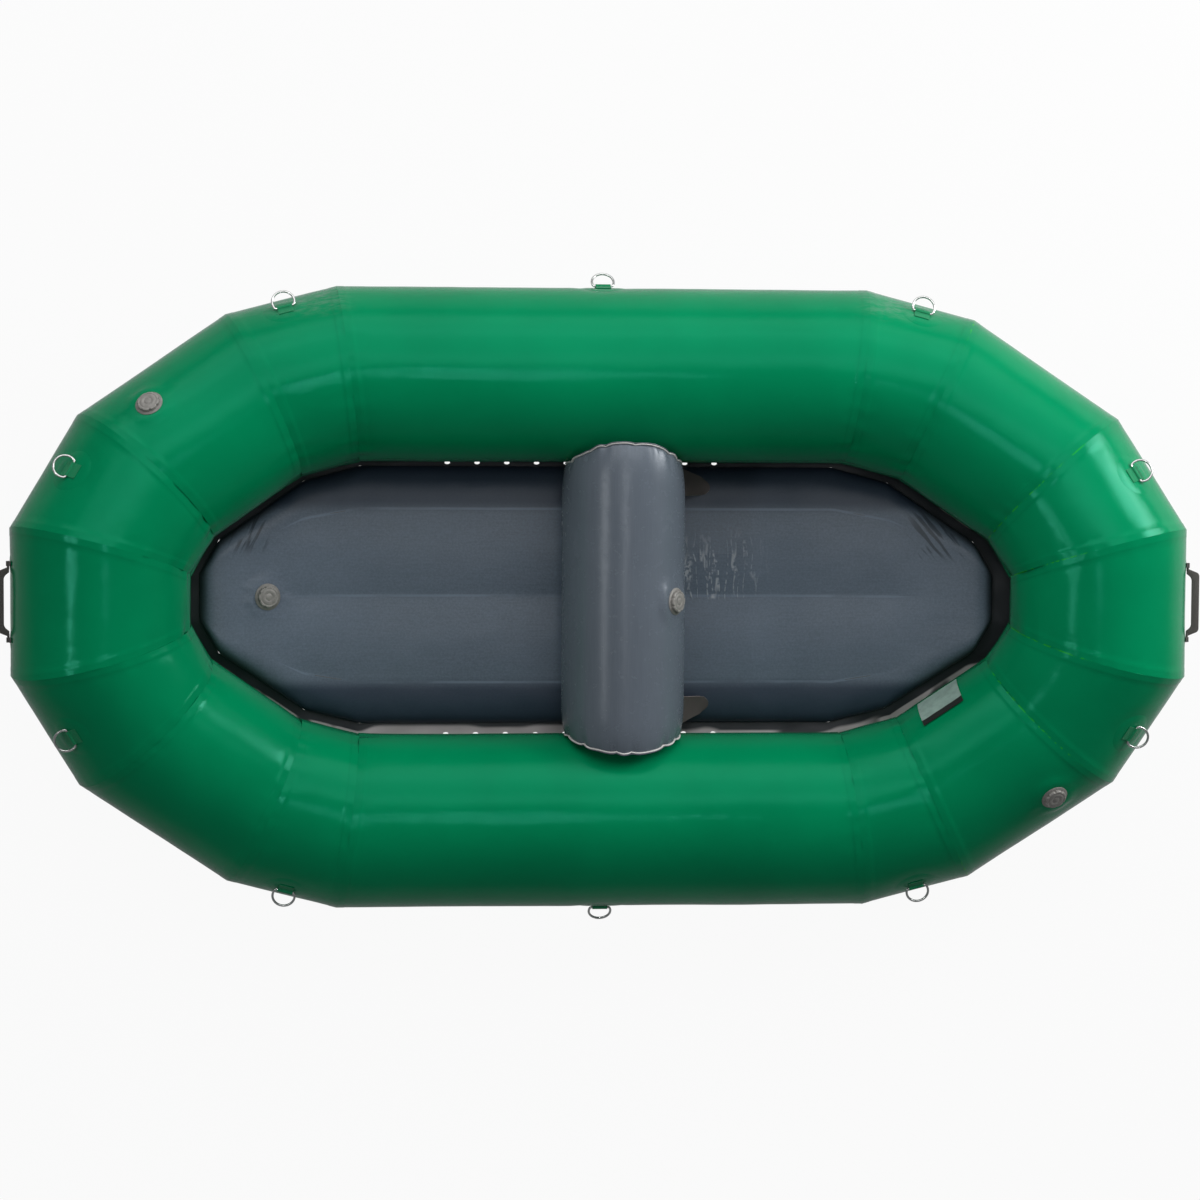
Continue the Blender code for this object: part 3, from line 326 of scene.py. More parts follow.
def coated_fabric(
    name, colour, roughness, tint=WHITE_TINT, blotch=0.10, level=0.42, streaks=None, overlay=None, scuffed=0.16
):
    """Coated boat fabric: a faint weave under a satin coat, slow changes of shade, and an overlay: its own
    marks on the tubes, painted shade on the skirt.
    """
    look = Look(name, {"Specular IOR Level": level, "Specular Tint": tint})
    along, around = look.chart()
    spot = look.place()
    cloud = look.grain(spot, 3.1, 3.0)
    scuffs = look.grain(spot, 46.0, 4.0, 0.65)
    tone = look.mix(cloud.ramp(0.3, 0.7), shade(colour, 1 - blotch), shade(colour, 1 + blotch))
    tone = look.mix(scuffs.ramp(0.62, 0.80, 0.0, scuffed), tone, shade(colour, 1.5))
    if streaks is not None:
        run = look.node("CombineXYZ", {}, (along * streaks[0], around * streaks[1], 0.0))
        threads = look.grain(run, 1.0, 3.0, 0.7)
        tone = look.mix(threads.ramp(0.30, 0.72, 0.0, 0.22), tone, shade(colour, 1.5))
    if overlay is not None:
        tone = overlay(look, tone, colour)
    shine = roughness + (cloud - 0.5) * 0.10 + scuffs.ramp(0.5, 0.8, 0.0, 0.07)
    height = look.weave(along, around, WEAVE_PITCH) * WEAVE_DEPTH + look.grain(spot, 14.0, 3.0) * 0.0009
    look.set(tone, shine, height)
    return look


def tube_wear(look, tone, colour):
    """Grey rubbed cloth on the outermost shoulders, and dust along the starboard quarters."""
    x, y, z = look.parts(look.place())
    rubbed = look.grain(look.place((26, 60, 90)), 1.0, 5.0, 0.72)
    shoulder = y.ramp(0.690, 0.745) * x.size().band(0.60, 0.72, 0.98, 1.10) * z.ramp(0.17, 0.26)
    tone = look.mix(rubbed.ramp(0.40, 0.70, 0.0, 0.45) * shoulder, tone, RUBBED_CLOTH)
    quarter = (y * -0.82 + x.size() * 0.57).ramp(1.085, 1.15) * z.ramp(0.14, 0.26) * y.ramp(-0.2, -0.3)
    return look.mix(rubbed.ramp(0.34, 0.60, 0.25, 0.75) * quarter, tone, DUSTY_CLOTH)


def tube_seams(look, tone, colour):
    """The tapes are a shade deeper, with a thin dark edge, and yellower glue shows round the bow."""
    reach, _ = look.chart(SEAM_MAP)
    spot = look.place()
    x, _, _ = look.parts(spot)
    tone = look.mix(reach.ramp(0.0210, 0.0190, 0.0, 0.22), tone, shade(colour, 0.90))
    edge = reach.band(0.0180, 0.0196, 0.0204, 0.0222) * look.grain(spot, 18.0).ramp(0.35, 0.60, 0.0, 0.14)
    tone = look.mix(edge, tone, shade(colour, 0.6))
    glue = reach.ramp(0.0026, 0.0012) * look.grain(spot, 55.0).ramp(0.44, 0.58)
    glue = glue * x.band(0.88, 0.93, 1.15, 1.19)
    return look.mix(glue * 0.8, tube_wear(look, tone, colour), SEAM_GLUE)


def skirt_painted_shade(look, tone, colour):
    """Painted shade: the skirt lies in the dark, so it is darkened nearly to black, but for the starboard
    side and slivers next to the tubes.
    """
    spot = look.place()
    x, y, _ = look.parts(spot)
    _, across = look.chart()
    open_side = y.ramp(-0.20, -0.28) * x.size().ramp(0.76, 0.68)
    reach = 0.002 + look.grain(spot, 3.0).ramp(0.42, 0.62) * 0.026
    strip = (across - reach).ramp(0.0, 0.010) * open_side
    torn = look.grain(spot, 6.5) + x.ramp(0.99, 1.03) * 0.09
    sliver = (across - x.ramp(0.95, 1.02) * 0.020).ramp(0.019, 0.025) * torn.ramp(0.47, 0.56)
    sliver = sliver * y.ramp(0.60, 0.54) * (x.size().ramp(0.58, 0.64) + y.ramp(-0.20, -0.30))
    # Painted shade: outside the strips and slivers the skirt is mixed toward SKIRT_SHADOW.
    return look.mix((1 - strip.or_more(sliver)) * 0.96, tone, SKIRT_SHADOW)


def floor_fold_shade(look, x, y):
    """Painted shade in folds: a fan in the bow's port corner, and drawn ones in the stern's."""
    fan = look.grain(look.slanted(math.radians(38), 95, 9), 1.0).ramp(0.50, 0.60)
    fan = fan * x.band(0.78, 0.83, 0.90, 0.96) * y.band(0.085, 0.12, 0.20, 0.235)
    drawn = look.grain(look.slanted(math.radians(-25), 95, 9), 1.0).ramp(0.50, 0.60)
    drawn = drawn * x.band(-0.95, -0.92, -0.86, -0.83) * y.band(0.10, 0.14, 0.20, 0.24)
    return fan.or_more(drawn)


def floor_fabric(name, colours):
    """The floor's top sheet: lengthwise threads, a dark welded rim, painted shade near its edge, on its outer
    chambers and in its folds, and painted highlights on wet creases by the thwart.
    """
    look = Look(name, {"Specular IOR Level": 0.42})
    along, around = look.chart()
    rim, crease = look.chart(SEAM_MAP)
    spot = look.place()
    x, y, _ = look.parts(spot)
    cloud = look.grain(spot, 4.0, 3.0)
    threads = look.grain(look.place((14, 460, 14)), 1.0, 3.0, 0.7)
    speck = look.grain(spot, 170.0, 4.0, 0.8)
    crease_patches = look.grain(look.place((6, 30, 6)), 1.0)
    layers = (
        (threads.ramp(0.30, 0.72, 0.0, 0.30), shade(colours.floor, 1.5)),
        (speck.ramp(0.35, 0.68, 0.0, 0.42), shade(colours.floor, 1.7)),
        # A dark welded rim, and painted shade that deepens over the floor's last 30 mm toward its edge.
        (rim.ramp(0.030, 0.004, 0.0, 0.80), shade(colours.floor, 0.16)),
        # Painted shade: the outer chambers are darkened toward navy.
        (y.size().ramp(0.205, 0.245, 0.0, 0.80), OUTER_CHAMBER_PAINTED_SHADE),
        # Paler lines along the beam creases, in patches.
        (crease.ramp(0.0048, 0.0016) * crease_patches.ramp(0.36, 0.60, 0.10, 0.55), shade(colours.floor, 1.9)),
        # Painted shade in the floor's folds.
        (floor_fold_shade(look, x, y) * 0.7, shade(colours.floor, 0.20)),
    )
    tone = look.mix(cloud.ramp(0.3, 0.7), shade(colours.floor, 0.92), shade(colours.floor, 1.08))
    for mask, colour in layers:
        tone = look.mix(mask, tone, colour)
    # Painted highlights: pale glints on the wet folds and a small pool by the thwart. The wet cloth is also
    # glossier, and its ridges are raised.
    wet = x.band(0.19, 0.22, 0.34, 0.46) * y.band(-0.012, -0.002, 0.09, 0.19)
    folds = look.grain(look.place((46, 8, 9), (0, 0, math.radians(10))), 1.0, 1.5, 0.45)
    ridge = (1 - (folds - 0.5).size() * 24).or_more(0.0) * wet * look.grain(spot, 70.0).ramp(0.40, 0.56)
    painted_glint_pool = x.band(0.205, 0.215, 0.235, 0.250) * y.band(0.03, 0.05, 0.09, 0.115)
    painted_glint_pool = painted_glint_pool * look.grain(spot, 90.0, 3.0).ramp(0.42, 0.56)
    shine = 0.42 + (cloud - 0.5) * 0.12 - wet * 0.16
    height = look.weave(along, around, WEAVE_PITCH) * WEAVE_DEPTH + look.grain(spot, 16.0, 3.0) * 0.0009
    look.set(look.mix(ridge.or_more(painted_glint_pool) * 0.8, tone, PAINTED_WET_GLINT), shine, height + ridge * 0.0010)
    return look


def inner_fabric(name, colours):
    """The uncoated inside of the cloth, on the baffles and beams."""
    look = Look(name, {"Roughness": 0.75})
    x, y, z = look.parts(look.place())
    cloud = look.grain(look.place(), 9.0, 3.0)
    tone = look.mix(cloud.ramp(0.3, 0.7), shade(colours.webbing, 1.2), shade(colours.webbing, 1.9))
    look.set(tone, 0.7 + cloud * 0.15, look.weave(x + z, y + z, 0.0012) * 0.00003)
    return look


def webbing(name, colour):
    """Woven tape: ribs across it and a little fluff."""
    look = Look(name, {"Specular IOR Level": 0.3, "Sheen Weight": 0.15, "Sheen Roughness": 0.5})
    rib = look.weave(*look.chart(), RIB_PITCH, 1.5)
    fluff = look.grain(look.place(), 600.0, 3.0, 0.7)
    tone = look.mix(rib.ramp(-1.0, 1.0), shade(colour, 0.72), shade(colour, 1.25))
    tone = look.mix(fluff.ramp(0.55, 0.8, 0.0, 0.4), tone, shade(colour, 1.9))
    look.set(tone, 0.72 + fluff * 0.2, rib * 0.00012 + fluff * 0.00006)
    return look


def moulded_plastic(name, colour, roughness):
    """Moulded plastic: fine stipple, slight mottling and worn, paler specks."""
    look = Look(name, {"Specular IOR Level": 0.5})
    spot = look.place()
    mottle = look.grain(spot, 60.0, 4.0, 0.6)
    stipple = look.grain(spot, 1800.0)
    wear = look.grain(spot, 260.0, 5.0, 0.7)
    tone = look.mix(mottle.ramp(0.3, 0.7), shade(colour, 0.82), shade(colour, 1.14))
    tone = look.mix(wear.ramp(0.60, 0.74, 0.0, 0.6), tone, shade(colour, 1.6))
    look.set(tone, roughness + mottle * 0.14, stipple * 0.00003 + mottle * 0.00008)
    return look


def stainless_steel(name, colours):
    """Bent and polished wire: long faint scratches and a few dull spots."""
    look = Look(name, {"Metallic": 1.0})
    scratches = look.grain(look.place((900, 900, 90)), 1.0, 4.0, 0.7)
    dull = look.grain(look.place(), 120.0, 3.0, 0.6)
    tone = look.mix(dull.ramp(0.4, 0.75), BRIGHT_STEEL, DULL_STEEL)
    look.set(tone, 0.16 + scratches * 0.14 + dull.ramp(0.55, 0.8, 0.0, 0.25), scratches * 0.00001)
    return look


def label_fabric(name, colours):
    """A bare woven label with a dark band at its upper end."""
    look = Look(name, {"Specular IOR Level": 0.3})
    along, around = look.chart()
    fibre = look.grain(look.place((700, 700, 700)), 1.0, 3.0)
    creases = look.grain(look.place(), 40.0, 4.0, 0.6)
    tone = look.mix(creases.ramp(0.3, 0.7), shade(colours.label, 0.86), shade(colours.label, 1.12))
    tone = look.mix(around.ramp(0.0915, 0.0925), tone, LABEL_BAND)
    look.set(tone, 0.6 + fibre * 0.15, look.weave(along, around, 0.0008) * 0.00002 + creases * 0.0004)
    return look


def tube_cloth(name, colours, overlay):
    return coated_fabric(name, colours.tube, TUBE_ROUGHNESS, TUBE_TINT, 0.07, TUBE_GLOSS, overlay=overlay)


def skirt_cloth(name, colours):
    # The skirt's overlay is painted shade.
    return coated_fabric(name, colours.skirt, 0.55, blotch=0.14, overlay=skirt_painted_shade)


def thwart_cloth(name, colours):
    return coated_fabric(name, colours.thwart, 0.26, (0.9, 0.95, 1, 1), 0.06, streaks=(9, 420), scuffed=0.05)


FINISHES = {
    "tube_fabric": lambda name, colours: tube_cloth(name, colours, tube_seams),
    "tube_patch": lambda name, colours: tube_cloth(name, colours, tube_wear),
    "thwart_fabric": thwart_cloth,
    "hem_fabric": lambda name, colours: coated_fabric(name, colours.hem, 0.6),
    "floor_fabric": floor_fabric,
    "skirt_fabric": skirt_cloth,
    "inner_fabric": inner_fabric,
    "tab_fabric": lambda name, colours: coated_fabric(name, colours.tab, 0.55, (1, 0.94, 0.92, 1), 0.18),
    # Painted highlight: the tab's rim faces are three times paler than its cloth, as lit edges.
    "tab_edge": lambda name, colours: coated_fabric(name, shade(colours.tab, 3.0), 0.6, blotch=0.18),
    "dark_webbing": lambda name, colours: webbing(name, colours.webbing),
    "green_webbing": lambda name, colours: webbing(name, shade(colours.tube, 0.95)),
    "valve_plastic": lambda name, colours: moulded_plastic(name, shade(colours.cap, 0.9), 0.42),
    "cap_plastic": lambda name, colours: moulded_plastic(name, colours.cap, 0.34),
    "gasket_rubber": lambda name, colours: moulded_plastic(name, BLACK_RUBBER, 0.6),
    "stainless_steel": stainless_steel,
    "label_fabric": label_fabric,
}


def finish_of(finish):
    """The finish of that name, made when it is first asked for."""
    name = f"raft_{finish}"
    ready = bpy.data.materials.get(name)
    return ready or FINISHES[finish](name, bpy.context.scene.raft_colours).material


# Modelling


def smooth_step(low, high, value):
    share = min(1.0, max(0.0, (value - low) / (high - low)))
    return share * share * (3 - 2 * share)


def fade(distance, reach):
    """Is 1 at no distance and dies away over the reach."""
    return math.exp(-((distance / reach) ** 2))


def wave(*place):
    """Smooth noise, from -1 to 1."""
    return noise.noise(Vector(place))


def spread(low, high, count):
    return [low + (high - low) * step / count for step in range(count + 1)]


def both_sides(half):
    """Values from 0 on, with their mirror images before them."""
    return [-value for value in reversed(half[1:])] + half


def frame_matrix(origin, x_axis, y_axis, z_axis):
    turn = Matrix((x_axis, y_axis, z_axis)).transposed().to_4x4()
    return Matrix.Translation(origin) @ turn


def weld(bm):
    bmesh.ops.remove_doubles(bm, verts=bm.verts, dist=MERGE)


def verts_of(geom):
    return [item for item in geom if isinstance(item, bmesh.types.BMVert)]


def crosses(edge, axis):
    """Whether an edge's ends differ on that axis."""
    return abs(edge.verts[0].co[axis] - edge.verts[1].co[axis]) > MERGE


def round_edges(bm, edges, offset, segments):
    bmesh.ops.bevel(
        bm, geom=edges, offset=offset, offset_type="OFFSET", segments=segments, profile=0.5,
        affect="EDGES", material=-1,
    )


def laid_grid(columns, rows, place, maps=(CLOTH_MAP,)):
    """A grid of faces. place(column value, row value) gives a corner and its place on each map."""
    bm = bmesh.new()
    for name in maps:
        bm.loops.layers.uv.new(name)
    bmesh.ops.create_grid(bm, x_segments=len(columns) - 1, y_segments=len(rows) - 1, size=0.5)
    charts = {}
    for vert in bm.verts:
        column = columns[round((vert.co.x + 0.5) * (len(columns) - 1))]
        row = rows[round((vert.co.y + 0.5) * (len(rows) - 1))]
        vert.co, *charts[vert] = place(column, row)
    for index, name in enumerate(maps):
        layer = bm.loops.layers.uv[name]
        for face in bm.faces:
            for loop in face.loops:
                loop[layer].uv = charts[loop.vert][index]
    return bm


def turned(profile, sides):
    """A turned solid from (radius, height) points, about Z."""
    bm = bmesh.new()
    points = [bm.verts.new((radius, 0, height)) for radius, height in profile]
    lines = [bm.edges.new(pair) for pair in zip(points, points[1:])]
    if profile[0][0] > 0:
        lines.append(bm.edges.new((points[-1], points[0])))
    bmesh.ops.spin(
        bm, geom=points + lines, cent=(0, 0, 0), axis=(0, 0, 1), angle=2 * math.pi, steps=sides,
        use_merge=True,
    )
    weld(bm)
    return bm


def chart_from_above(bm):
    """A cloth map seen down Z, for the turned and cut pieces that carry a woven finish."""
    cloth = bm.loops.layers.uv.new(CLOTH_MAP)
    for face in bm.faces:
        for loop in face.loops:
            loop[cloth].uv = loop.vert.co.xy


def new_object(name, data):
    obj = bpy.data.objects.new(name, data)
    bpy.context.scene.collection.objects.link(obj)
    return obj


def new_mesh(name, bm):
    mesh = bpy.data.meshes.new(name)
    bm.to_mesh(mesh)
    bm.free()
    return mesh


def piece(name, bm, finish, body="hull", replaced=(), wall=0.0, offset=-1.0, facing=None):
    """Makes the finished object, which rides on a body and stands for the replaced nodes."""
    weld(bm)
    bmesh.ops.recalc_face_normals(bm, faces=bm.faces)
    if facing is not None:
        total = sum((face.normal * face.calc_area() for face in bm.faces), Vector())
        if total.dot(facing) < 0:
            bmesh.ops.reverse_faces(bm, faces=bm.faces)
    bm.edges.index_update()
    rims = [edge.index for edge in bm.edges if edge.is_boundary]
    mesh = new_mesh(name, bm)
    mesh.shade_smooth()
    mesh.set_sharp_from_angle(angle=SHARP_ANGLE)
    for index in rims:
        mesh.edges[index].use_edge_sharp = True
    mesh.materials.append(finish_of(finish))
    obj = new_object(name, mesh)
    if wall:
        solid = obj.modifiers.new("wall", "SOLIDIFY")
        solid.thickness = wall
        solid.offset = offset
    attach(obj, body)
    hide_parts(*replaced)
    return obj


def baked_difference(obj, cutters):
    """Cuts the cutters' bmesh out of a piece for good, after its other modifiers."""
    bmesh.ops.recalc_face_normals(cutters, faces=cutters.faces)
    tool = new_object(f"{obj.name}_cut", new_mesh(f"{obj.name}_cut", cutters))
    cut = obj.modifiers.new("cut", "BOOLEAN")
    cut.object = tool
    cut.solver = "EXACT"
    bpy.context.view_layer.update()
    result = bpy.data.meshes.new_from_object(obj.evaluated_get(bpy.context.evaluated_depsgraph_get()))
    obj.modifiers.clear()
    obj.data = result
    bpy.data.objects.remove(tool)


# The hull's own lines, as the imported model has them


class Panel:
    """One straight length of the tube, between two mitre planes."""

    def __init__(self, corners, index):
        count = len(corners)
        self.start = corners[index]
        self.end = corners[(index + 1) % count]
        self.direction = (self.end - self.start).normalized()
        before = (self.start - corners[index - 1]).normalized()
        after = (corners[(index + 2) % count] - self.end).normalized()
        self.start_mitre = (before + self.direction).normalized()
        self.end_mitre = (self.direction + after).normalized()
        self.outward = UP.cross(self.direction).normalized()
        self.upward = self.direction.cross(self.outward)
        self.middle = (self.start + self.end) / 2
        self.seed = index
        self.turn = 0.0
        self.patches = []  # elevation, shift and radius of each

    def radial(self, angle):
        return self.outward * math.cos(angle) + self.upward * math.sin(angle)

    def mitre_points(self, angle, radius):
        """Where a line along the tube meets the start's mitre and the end's."""
        offset = self.radial(angle) * radius
        for corner, mitre in ((self.start, self.start_mitre), (self.end, self.end_mitre)):
            yield corner + offset - self.direction * (mitre.dot(offset) / mitre.dot(self.direction))

    def flats_radius(self, angle):
        """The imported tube's radius, which is smaller at the middle of each of its flats."""
        around = angle - self.turn
        return TUBE_CENTRE_HEIGHT / math.cos(around - TUBE_STEP * round(around / TUBE_STEP))

    def anchor(self, angle, shift, height):
        """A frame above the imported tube: X along the panel, Y round the tube, Z outward."""
        normal = self.radial(angle)
        origin = self.middle + self.direction * shift + normal * (self.flats_radius(angle) + height)
        return frame_matrix(origin, self.direction, normal.cross(self.direction), normal)

    def surface(self, angle, shift, height):
        """A point above the dressed skin."""
        return self.middle + self.direction * shift + self.radial(angle) * (SKIN_RADIUS + height)


def panel_run(end, side):
    """Names of the panels from a side's middle round to an end."""
    turning = [f"{end}_{side}_{part}" for part in ("shoulder", "quarter", "cheek")]
    return [f"{side}_side_panel", *turning, f"{end}_panel"]


def whole_ring(quarter):
    """The corners all the way round, from those of the bow port quarter."""
    bow = quarter + [Vector((p.x, -p.y, *p[2:])) for p in reversed(quarter)]
    return bow + [Vector((-p.x, -p.y, *p[2:])) for p in bow]


def all_panels():
    forward = sum(length * math.cos(heading) for length, heading, _ in LEGS)
    point = Vector((HULL_LENGTH / 2 - TUBE_RADIUS - forward, HULL_BEAM / 2 - TUBE_RADIUS, TUBE_CENTRE_HEIGHT))
    quarter = [point]
    for length, heading, rise in LEGS:
        point = point + Vector((length * math.cos(heading), -length * math.sin(heading), rise))
        quarter.append(point)
    corners = whole_ring(quarter)
    made = {name: Panel(corners, index) for index, name in enumerate(PANEL_NAMES)}
    for end in ("bow", "stern"):
        for side in ("port", "starboard"):
            run = [made[name] for name in panel_run(end, side)]
            flat = run[0].outward
            for before, panel in zip(run, run[1:]):
                flat = before.direction.rotation_difference(panel.direction) @ flat
                panel.turn = math.atan2(flat.dot(panel.upward), flat.dot(panel.outward))
    for _, name, (elevation, _), shift in RINGS:
        made[name].patches.append((elevation, shift, PATCH_RADIUS))
    for _, name in HANDLES:
        made[name].patches += [(HANDLE_ELEVATION, side * EYE_SHIFT, EYE_PATCH_RADIUS) for side in (-1, 1)]
    return made


PANELS = all_panels()


def inner_outline():
    """Corners of the floor's edge in the bow port quarter, in plan."""
    corners = [PANELS[name].end for name in panel_run("bow", "port")[:4]]
    headings = [0] + [heading for _, heading, _ in LEGS] + [math.pi / 2]
    made = []
    for corner, before, after in zip(corners, headings, headings[1:]):
        middle = (before + after) / 2
        reach = (TUBE_RADIUS + FLOOR_INSET) / math.cos((after - before) / 2)
        made.append(Vector((corner.x - reach * math.sin(middle), corner.y - reach * math.cos(middle))))
    return made


OUTLINE = inner_outline()
BEAM_HALF_LENGTH = OUTLINE[1].x
FLOOR_HALF_LENGTH = OUTLINE[3].x
BEAM_SHARE = BEAM_OFFSET / OUTLINE[0].y
FLOOR_RISE_START = FLOOR_HALF_LENGTH - FLOOR_RISE_LENGTH
FLOOR_VALVE_X = FLOOR_VALVE_SETBACK - FLOOR_HALF_LENGTH


def floor_half_width(x):
    x = abs(x)
    for near, far in zip(OUTLINE, OUTLINE[1:]):
        if near.x < x <= far.x:
            return near.y + (far.y - near.y) * (x - near.x) / (far.x - near.x)
    return OUTLINE[0].y if x <= OUTLINE[0].x else OUTLINE[-1].y


def floor_middle(x):
    """Height of the floor's middle layer."""
    along = max(0.0, abs(x) - FLOOR_RISE_START) / FLOOR_RISE_LENGTH
    return FLOOR_UNDERSIDE + FLOOR_CREST / 2 + FLOOR_RISE * along**FLOOR_RISE_POWER


def floor_end_share(x):
    """From 0 where the floor's end starts to round off to 1 at its edge."""
    return max(0.0, abs(x) - (FLOOR_HALF_LENGTH - FLOOR_END_ROUND)) / FLOOR_END_ROUND


def floor_bulge(x, share):
    """Half the floor's thickness at a share of its half width."""
    share = abs(share)
    beam = min(1.0, max(0.0, (BEAM_HALF_LENGTH + BEAM_FADE - abs(x)) / BEAM_FADE))
    crest = FLOOR_CREST / 2
    crease = crest - (FLOOR_CREST - FLOOR_CREASE) / 2 * beam
    if share <= BEAM_SHARE:
        height = crease + (crest - crease) * math.sin(math.pi * share / BEAM_SHARE)
    else:
        outer = (share - BEAM_SHARE) / (1 - BEAM_SHARE)
        height = crease * math.sqrt(max(0.0, 1 - outer**2))
    return height * math.sqrt(max(0.0, 1 - floor_end_share(x) ** 2))


def skirt_line(x, y, angle, clear):
    """Where the skirt that leaves the floor's edge at (x, y) runs on the tube."""
    side, end = ("port" if y >= 0 else "starboard"), ("bow" if x >= 0 else "stern")
    names = panel_run(end, side)
    flat = Vector((abs(x), abs(y)))
    legs = [(Vector((-OUTLINE[0].x, OUTLINE[0].y)), OUTLINE[0]), *zip(OUTLINE, OUTLINE[1:])]
    for name, (near, far) in zip(names, legs):
        share = (flat - near).dot(far - near) / (far - near).length_squared
        if share <= 1.0001:
            break
    else:
        name = names[-1]
        share = (OUTLINE[3].y - flat.y) / (2 * OUTLINE[3].y)
    panel = PANELS[name]
    mirror = Vector((1 if x >= 0 else -1, 1 if y >= 0 else -1))
    ends = panel.mitre_points(angle + panel.turn, clear)
    near, far = sorted(ends, key=lambda point: point.x * mirror.x - point.y * mirror.y)
    return near.lerp(far, min(1.0, max(0.0, share)))


THWART_HEIGHT = floor_middle(THWART_X) + FLOOR_CREST / 2 + THWART_LIFT + THWART_RADIUS
THWART_END_RADIUS = THWART_RADIUS - THWART_DRAW_IN
END_CLEAR = GAP + (0.4 * THWART_END_RADIUS) ** 2 / (8 * TUBE_RADIUS)


def thwart_point(angle, radius, y=0.0):
    """A point round the thwart's axis. The angle rises from the bow."""
    return Vector((THWART_X + math.cos(angle) * radius, y, THWART_HEIGHT + math.sin(angle) * radius))


def tube_face(height, offset=0.0):
    """How far out the side tube's inner face lies at a height."""
    across = (TUBE_RADIUS + offset) ** 2 - (height - TUBE_CENTRE_HEIGHT) ** 2
    return HULL_BEAM / 2 - TUBE_RADIUS - math.sqrt(max(0.0, across))


def seam_reach(height, side=0):
    """How far out the thwart's end seam lies. The port end leans a little further at its top."""
    hugging = TUBE_CENTRE_HEIGHT + (height - TUBE_CENTRE_HEIGHT) * THWART_HUG
    lean = PORT_LEAN * smooth_step(*LEAN_HEIGHTS, height - THWART_HEIGHT) if side > 0 else 0
    return tube_face(hugging, END_CLEAR) - FABRIC - 2 * GAP + lean


def valve_places():
    """Each valve's frame on its boss: Z outward."""
    step = 0.01
    stations = (FLOOR_VALVE_X - step, FLOOR_VALVE_X, FLOOR_VALVE_X + step)
    heights = [floor_middle(x) + floor_bulge(x, 0) for x in stations]
    across = Vector((0, 1, 0))
    floor_normal = Vector((-(heights[2] - heights[0]) / (2 * step), 0, 1)).normalized()
    floor_origin = Vector((FLOOR_VALVE_X, 0, heights[1])) + floor_normal * BOSS_PROUD
    normal = Vector((math.cos(THWART_VALVE_ELEVATION), 0, math.sin(THWART_VALVE_ELEVATION)))
    thwart_origin = thwart_point(THWART_VALVE_ELEVATION, THWART_RADIUS + BOSS_PROUD)
    on_tube = TUBE_VALVE_ELEVATION, TUBE_VALVE_SHIFT, BOSS_PROUD
    return {
        "stern_valve": PANELS["stern_port_quarter"].anchor(*on_tube),
        "bow_valve": PANELS["bow_starboard_quarter"].anchor(*on_tube),
        "thwart_valve": frame_matrix(thwart_origin, across.cross(normal), across, normal),
        "floor_valve": frame_matrix(floor_origin, across.cross(floor_normal), across, floor_normal),
    }


VALVE_PLACES = valve_places()

# How the cloth lies round a valve. All but the depths and the band are distances from its axis.
SEAT_SINK = 0.0001
SEAT_FLAT = (0.041, 0.066)
SEAT_FOLDS_RISE = (0.036, 0.050)
SEAT_FOLDS_FALL = (0.055, 0.085)
SEAT_FOLD_DEPTH = 0.0022
SEAT_BAND = 0.05  # how far from the boss, along the axis, cloth still belongs to the seat
SEAT_CUT = BARREL_RADIUS + 0.0095
SEAT_RIM = 0.034
SEAT_HOLE = BARREL_RADIUS + 0.0015


def seat_valve(bm, valve):
    """Presses the cloth flat round a valve, in short folds, and opens it for the barrel."""
    place = VALVE_PLACES[valve]
    inverse = place.inverted()
    near = {}
    for vert in bm.verts:
        spot = inverse @ vert.co
        out = math.hypot(spot.x, spot.y)
        if out > SEAT_FOLDS_FALL[1] or abs(spot.z) > SEAT_BAND:
            continue
        fold = noise.noise(Vector((spot.x / out, spot.y / out, 0.4)) * 5.5) if out > 0.001 else 0.0
        fold *= SEAT_FOLD_DEPTH * smooth_step(*SEAT_FOLDS_RISE, out)
        fold *= 1 - smooth_step(*SEAT_FOLDS_FALL, out)
        spot.z += fold - (spot.z + SEAT_SINK) * (1 - smooth_step(*SEAT_FLAT, out))
        vert.co = place @ spot
        near[vert] = out
    hole = [face for face in bm.faces if all(near.get(vert, 1) < SEAT_CUT for vert in face.verts)]
    bmesh.ops.delete(bm, geom=hole, context="FACES")
    for vert in [vert for vert in bm.verts if vert.is_boundary and near.get(vert, 1) < SEAT_RIM]:
        spot = inverse @ vert.co
        scale = SEAT_HOLE / max(0.001, math.hypot(spot.x, spot.y))
        vert.co = place @ Vector((spot.x * scale, spot.y * scale, -SEAT_SINK))


# The tubes

TAPE_STEPS = (0, 0.004, 0.009, 0.014, 0.0185)
TAPE_STOP = 0.0205
PINCH_REACH = 0.030
PUCKER_REACH = 0.038
PATCH_SINK = 0.0009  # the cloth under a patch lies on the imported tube's flats


